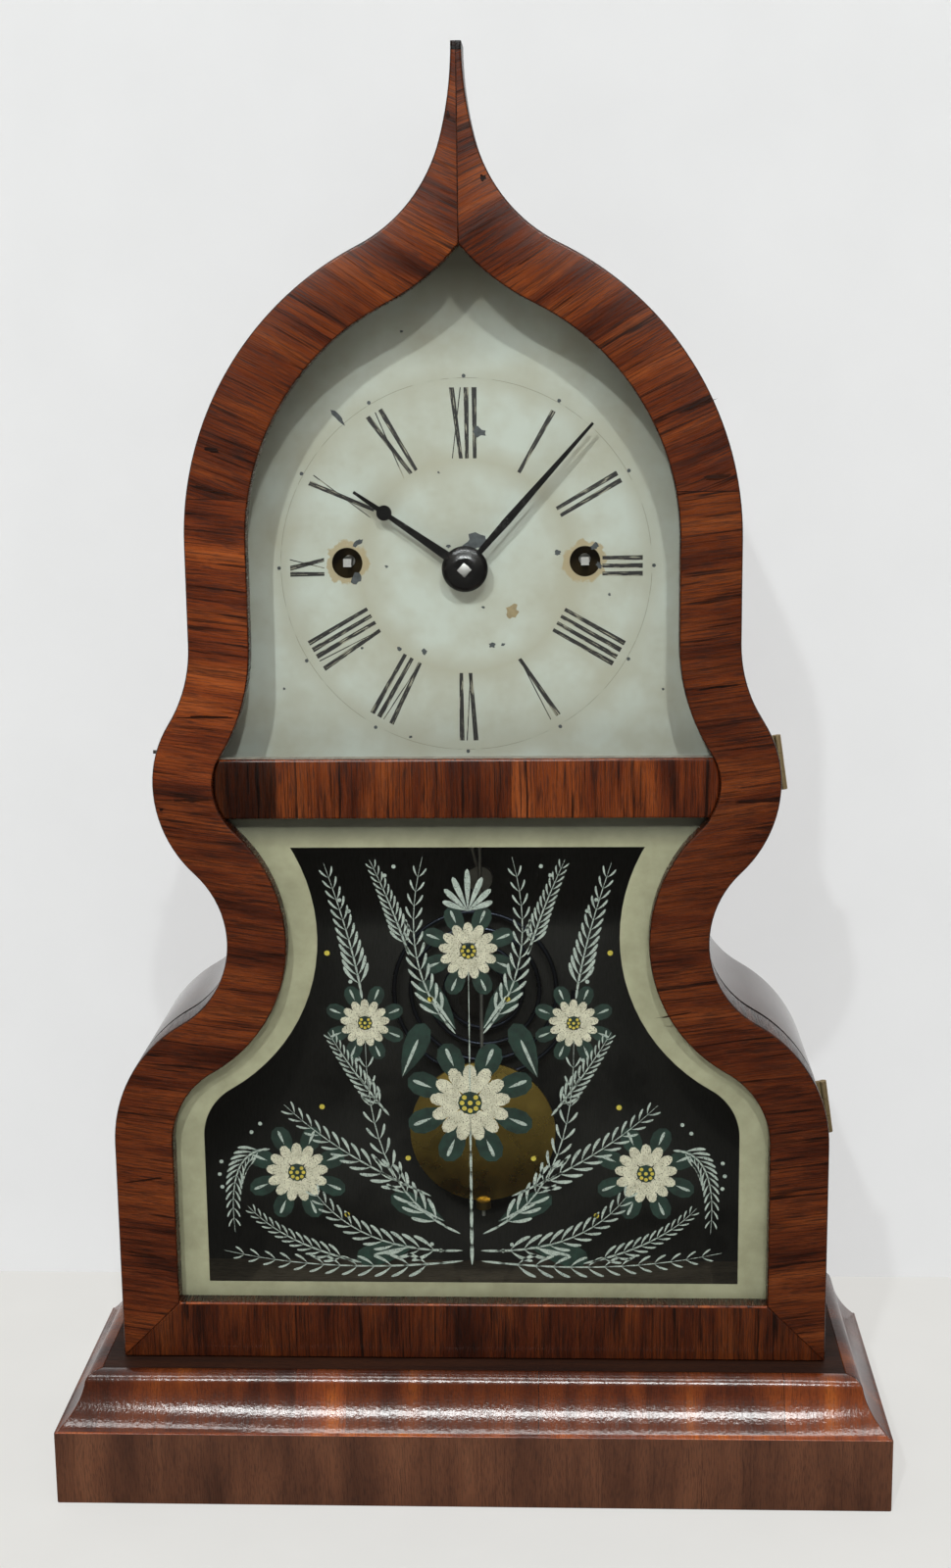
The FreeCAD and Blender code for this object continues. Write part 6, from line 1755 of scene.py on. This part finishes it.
@dataclass
class Studio:
    """Camera, pale floor and wall, even light from above and four lamps.

    Two small lamps high in front throw the shadows, and two broad ones show only as gleams in polish.
    """

    eye: Triple = (0.0418, -0.912, 0.4979)
    right: Triple = (0.9992, 0.0401, -0.0116)
    up: Triple = (0.0034, 0.1982, 0.9802)
    focal: float = 2150.0
    wall: float = 0.179
    sheet: float = 3.0
    floor_colour: str = "ecebe9"
    wall_colour: str = "e9e9ea"
    tooth: float = 60 * MM
    glow: float = 0.6
    fill_colour: str = "fffbef"
    fill_span: Place = (-0.1, 0.5)
    fill_strength: Place = (0.09, 0.5)
    lamps: tuple[Lamp, ...] = (
        Lamp("left", (-0.50, -2.15, 1.79), (0.07, 0.07), 24.4, Reach.MATT),
        Lamp("right", (0.34, -2.15, 1.83), (0.07, 0.07), 20.0, Reach.MATT),
        Lamp("overhead", (0.0, -0.6, 1.9), (2.6, 0.3), 34.0, Reach.POLISHED),
        Lamp("gleam", (-0.1, -2.2, 1.8), (1.9, 0.34), 85.0, Reach.POLISHED),
    )

    def camera(self) -> None:
        """Places the camera as the photograph's."""
        data = bpy.data.cameras.new("camera")
        data.sensor_width = 36.0
        data.lens = self.focal / IMAGE_LONG_SIDE * data.sensor_width
        right, up = Vector(self.right).normalized(), Vector(self.up)
        back = right.cross(up).normalized()
        up = back.cross(right)
        view = Matrix((right, up, back)).transposed().to_4x4()
        camera = bpy.data.objects.new("camera", data)
        camera.matrix_world = Matrix.Translation(self.eye) @ view
        bpy.context.scene.collection.objects.link(camera)
        bpy.context.scene.camera = camera

    def plain(self, name: str, colour: str) -> Finish:
        """Builds matt backdrop paper with a barely visible tooth, clear from behind.

        Args:
            name: the material's name.
            colour: the paper's colour.

        Returns:
            The material.
        """
        surface = Surface(name)
        spot = surface.add("TexCoord").outputs["Object"]
        tooth = surface.add("TexNoise", {"Vector": spot, "Scale": 1 / self.tooth, "Detail": 3.0})
        tone = surface.add("MapRange", {"Value": tooth.outputs["Fac"], "To Min": 0.97, "To Max": 1.03})
        tinted = surface.add("Mix", {0: 1.0, 6: linear(colour), 7: tone.outputs["Result"]}, data_type="RGBA",
                             blend_type="MULTIPLY")
        paper = surface.add("BsdfPrincipled", {"Base Color": tinted.outputs[2], "Roughness": 0.8,
                                               "IOR": 1.45})
        even = surface.add("Emission", {"Color": tinted.outputs[2], "Strength": 1.0})
        path = surface.add("LightPath")
        seen = surface.add("Math", {0: path.outputs["Is Camera Ray"], 1: path.outputs["Is Glossy Ray"]},
                           operation="ADD")
        seen = surface.add("Math", {0: seen.outputs[0], 1: path.outputs["Is Transmission Ray"]},
                           operation="ADD", use_clamp=True)
        share = surface.add("Math", {0: seen.outputs[0], 1: self.glow}, operation="MULTIPLY")
        shader = surface.add("MixShader", {0: share.outputs[0], 1: paper.outputs[0], 2: even.outputs[0]})
        clear = surface.add("BsdfTransparent")
        behind = surface.add("NewGeometry").outputs["Backfacing"]
        both = surface.add("MixShader", {0: behind, 1: shader.outputs[0], 2: clear.outputs[0]})
        return surface.finish(both.outputs[0])

    def ground(self) -> None:
        """Builds the floor and the wall behind the clock."""
        upright = Matrix.Translation((0, self.wall, 0)) @ Matrix.Rotation(math.pi / 2, 4, "X")
        sheets = (("floor", self.floor_colour, Matrix.Identity(4)), ("wall", self.wall_colour, upright))
        for name, colour, place in sheets:
            bm = bmesh.new()
            made = bmesh.ops.create_grid(bm, x_segments=1, y_segments=1, size=self.sheet)
            bmesh.ops.transform(bm, matrix=place, verts=made["verts"])
            mesh = bpy.data.meshes.new(name)
            bm.to_mesh(mesh)
            bm.free()
            mesh.materials.append(self.plain(f"{name} paper", colour))
            sheet = bpy.data.objects.new(name, mesh)
            bpy.context.scene.collection.objects.link(sheet)
            sheet.visible_diffuse = name == "floor"
            sheet.visible_shadow = name == "floor"
            sheet.visible_glossy = name == "wall"

    def light(self) -> None:
        """Sets the even light, stronger from above, and hangs the lamps."""
        surface = Surface("studio", around=True)
        ways = surface.add("SeparateXYZ", {0: surface.add("TexCoord").outputs["Generated"]})
        rise = surface.add("MapRange", {"Value": ways.outputs["Z"], "From Min": self.fill_span[0],
                                        "From Max": self.fill_span[1], "To Min": self.fill_strength[0],
                                        "To Max": self.fill_strength[1]})
        fill = surface.add("Background", {"Color": linear(self.fill_colour),
                                          "Strength": rise.outputs["Result"]})
        bpy.context.scene.world = surface.finish(fill.outputs[0])
        for lamp in self.lamps:
            lamp.hang()

    def build(self) -> None:
        """Builds the whole studio."""
        self.camera()
        self.ground()
        self.light()
        bpy.context.scene.view_settings.view_transform = "Standard"


def main() -> None:
    """Builds the studio and the clock's pieces, then dresses the CAD nodes that stay."""
    logging.basicConfig(level=logging.INFO, format="%(name)s: %(message)s")
    Studio().build()
    mahogany = MAHOGANY.material()
    bentwood = BENTWOOD.material()
    rosewood = ROSEWOOD.material()
    Base().build(mahogany, DULL_MAHOGANY.material())
    Case().build(bentwood)
    Door().build(rosewood, DUST_AND_SHEEN.material())
    Dial().build(InkPaint().material(), CIRCLE_INK.material(), ZINC.material(), GROUND_COAT.material())
    PaintedTablet().build(BORDER.material(), CREAM.material(), PALE_BLUE.material(), LEAF_GREEN.material(),
                          YELLOW.material())
    hinges = HINGE_BRASS.material()
    iron = IRON.material()
    steel = STEEL.material()
    movement = Movement({
        "rosewood": rosewood, "bentwood": bentwood, "mahogany": mahogany, "pine": PINE.material(),
        "clear_glass": WindowGlass().material(),
        "painted_glass": WindowGlass("old tablet glass", "fcfdfb").material(),
        "painted_zinc": DialPaint().material(), "black_steel": Lacquer().material(),
        "brass": PLATE_BRASS.material(), "steel": steel, "blue_steel": SPRING_STEEL.material(), "iron": iron,
    }, {
        # The core's top is darkened as painted shade under the door.
        "base_core": STAINED_AND_SHADED_CORE.material(), "pendulum_bob": BRASS.material(),
        # The front plate's near-black brass is painted shade behind the dial's holes.
        "front_plate": SHADED_PLATE_BRASS.material(), "case_floor": DUSTY_PINE.material(), "latch_pin": iron,
        "hinge_case_leaves": hinges, "hinge_door_leaves": hinges, "hinge_pins": hinges,
    })
    movement.end(steel)
    movement.dress()


if __name__ == "__main__":
    main()
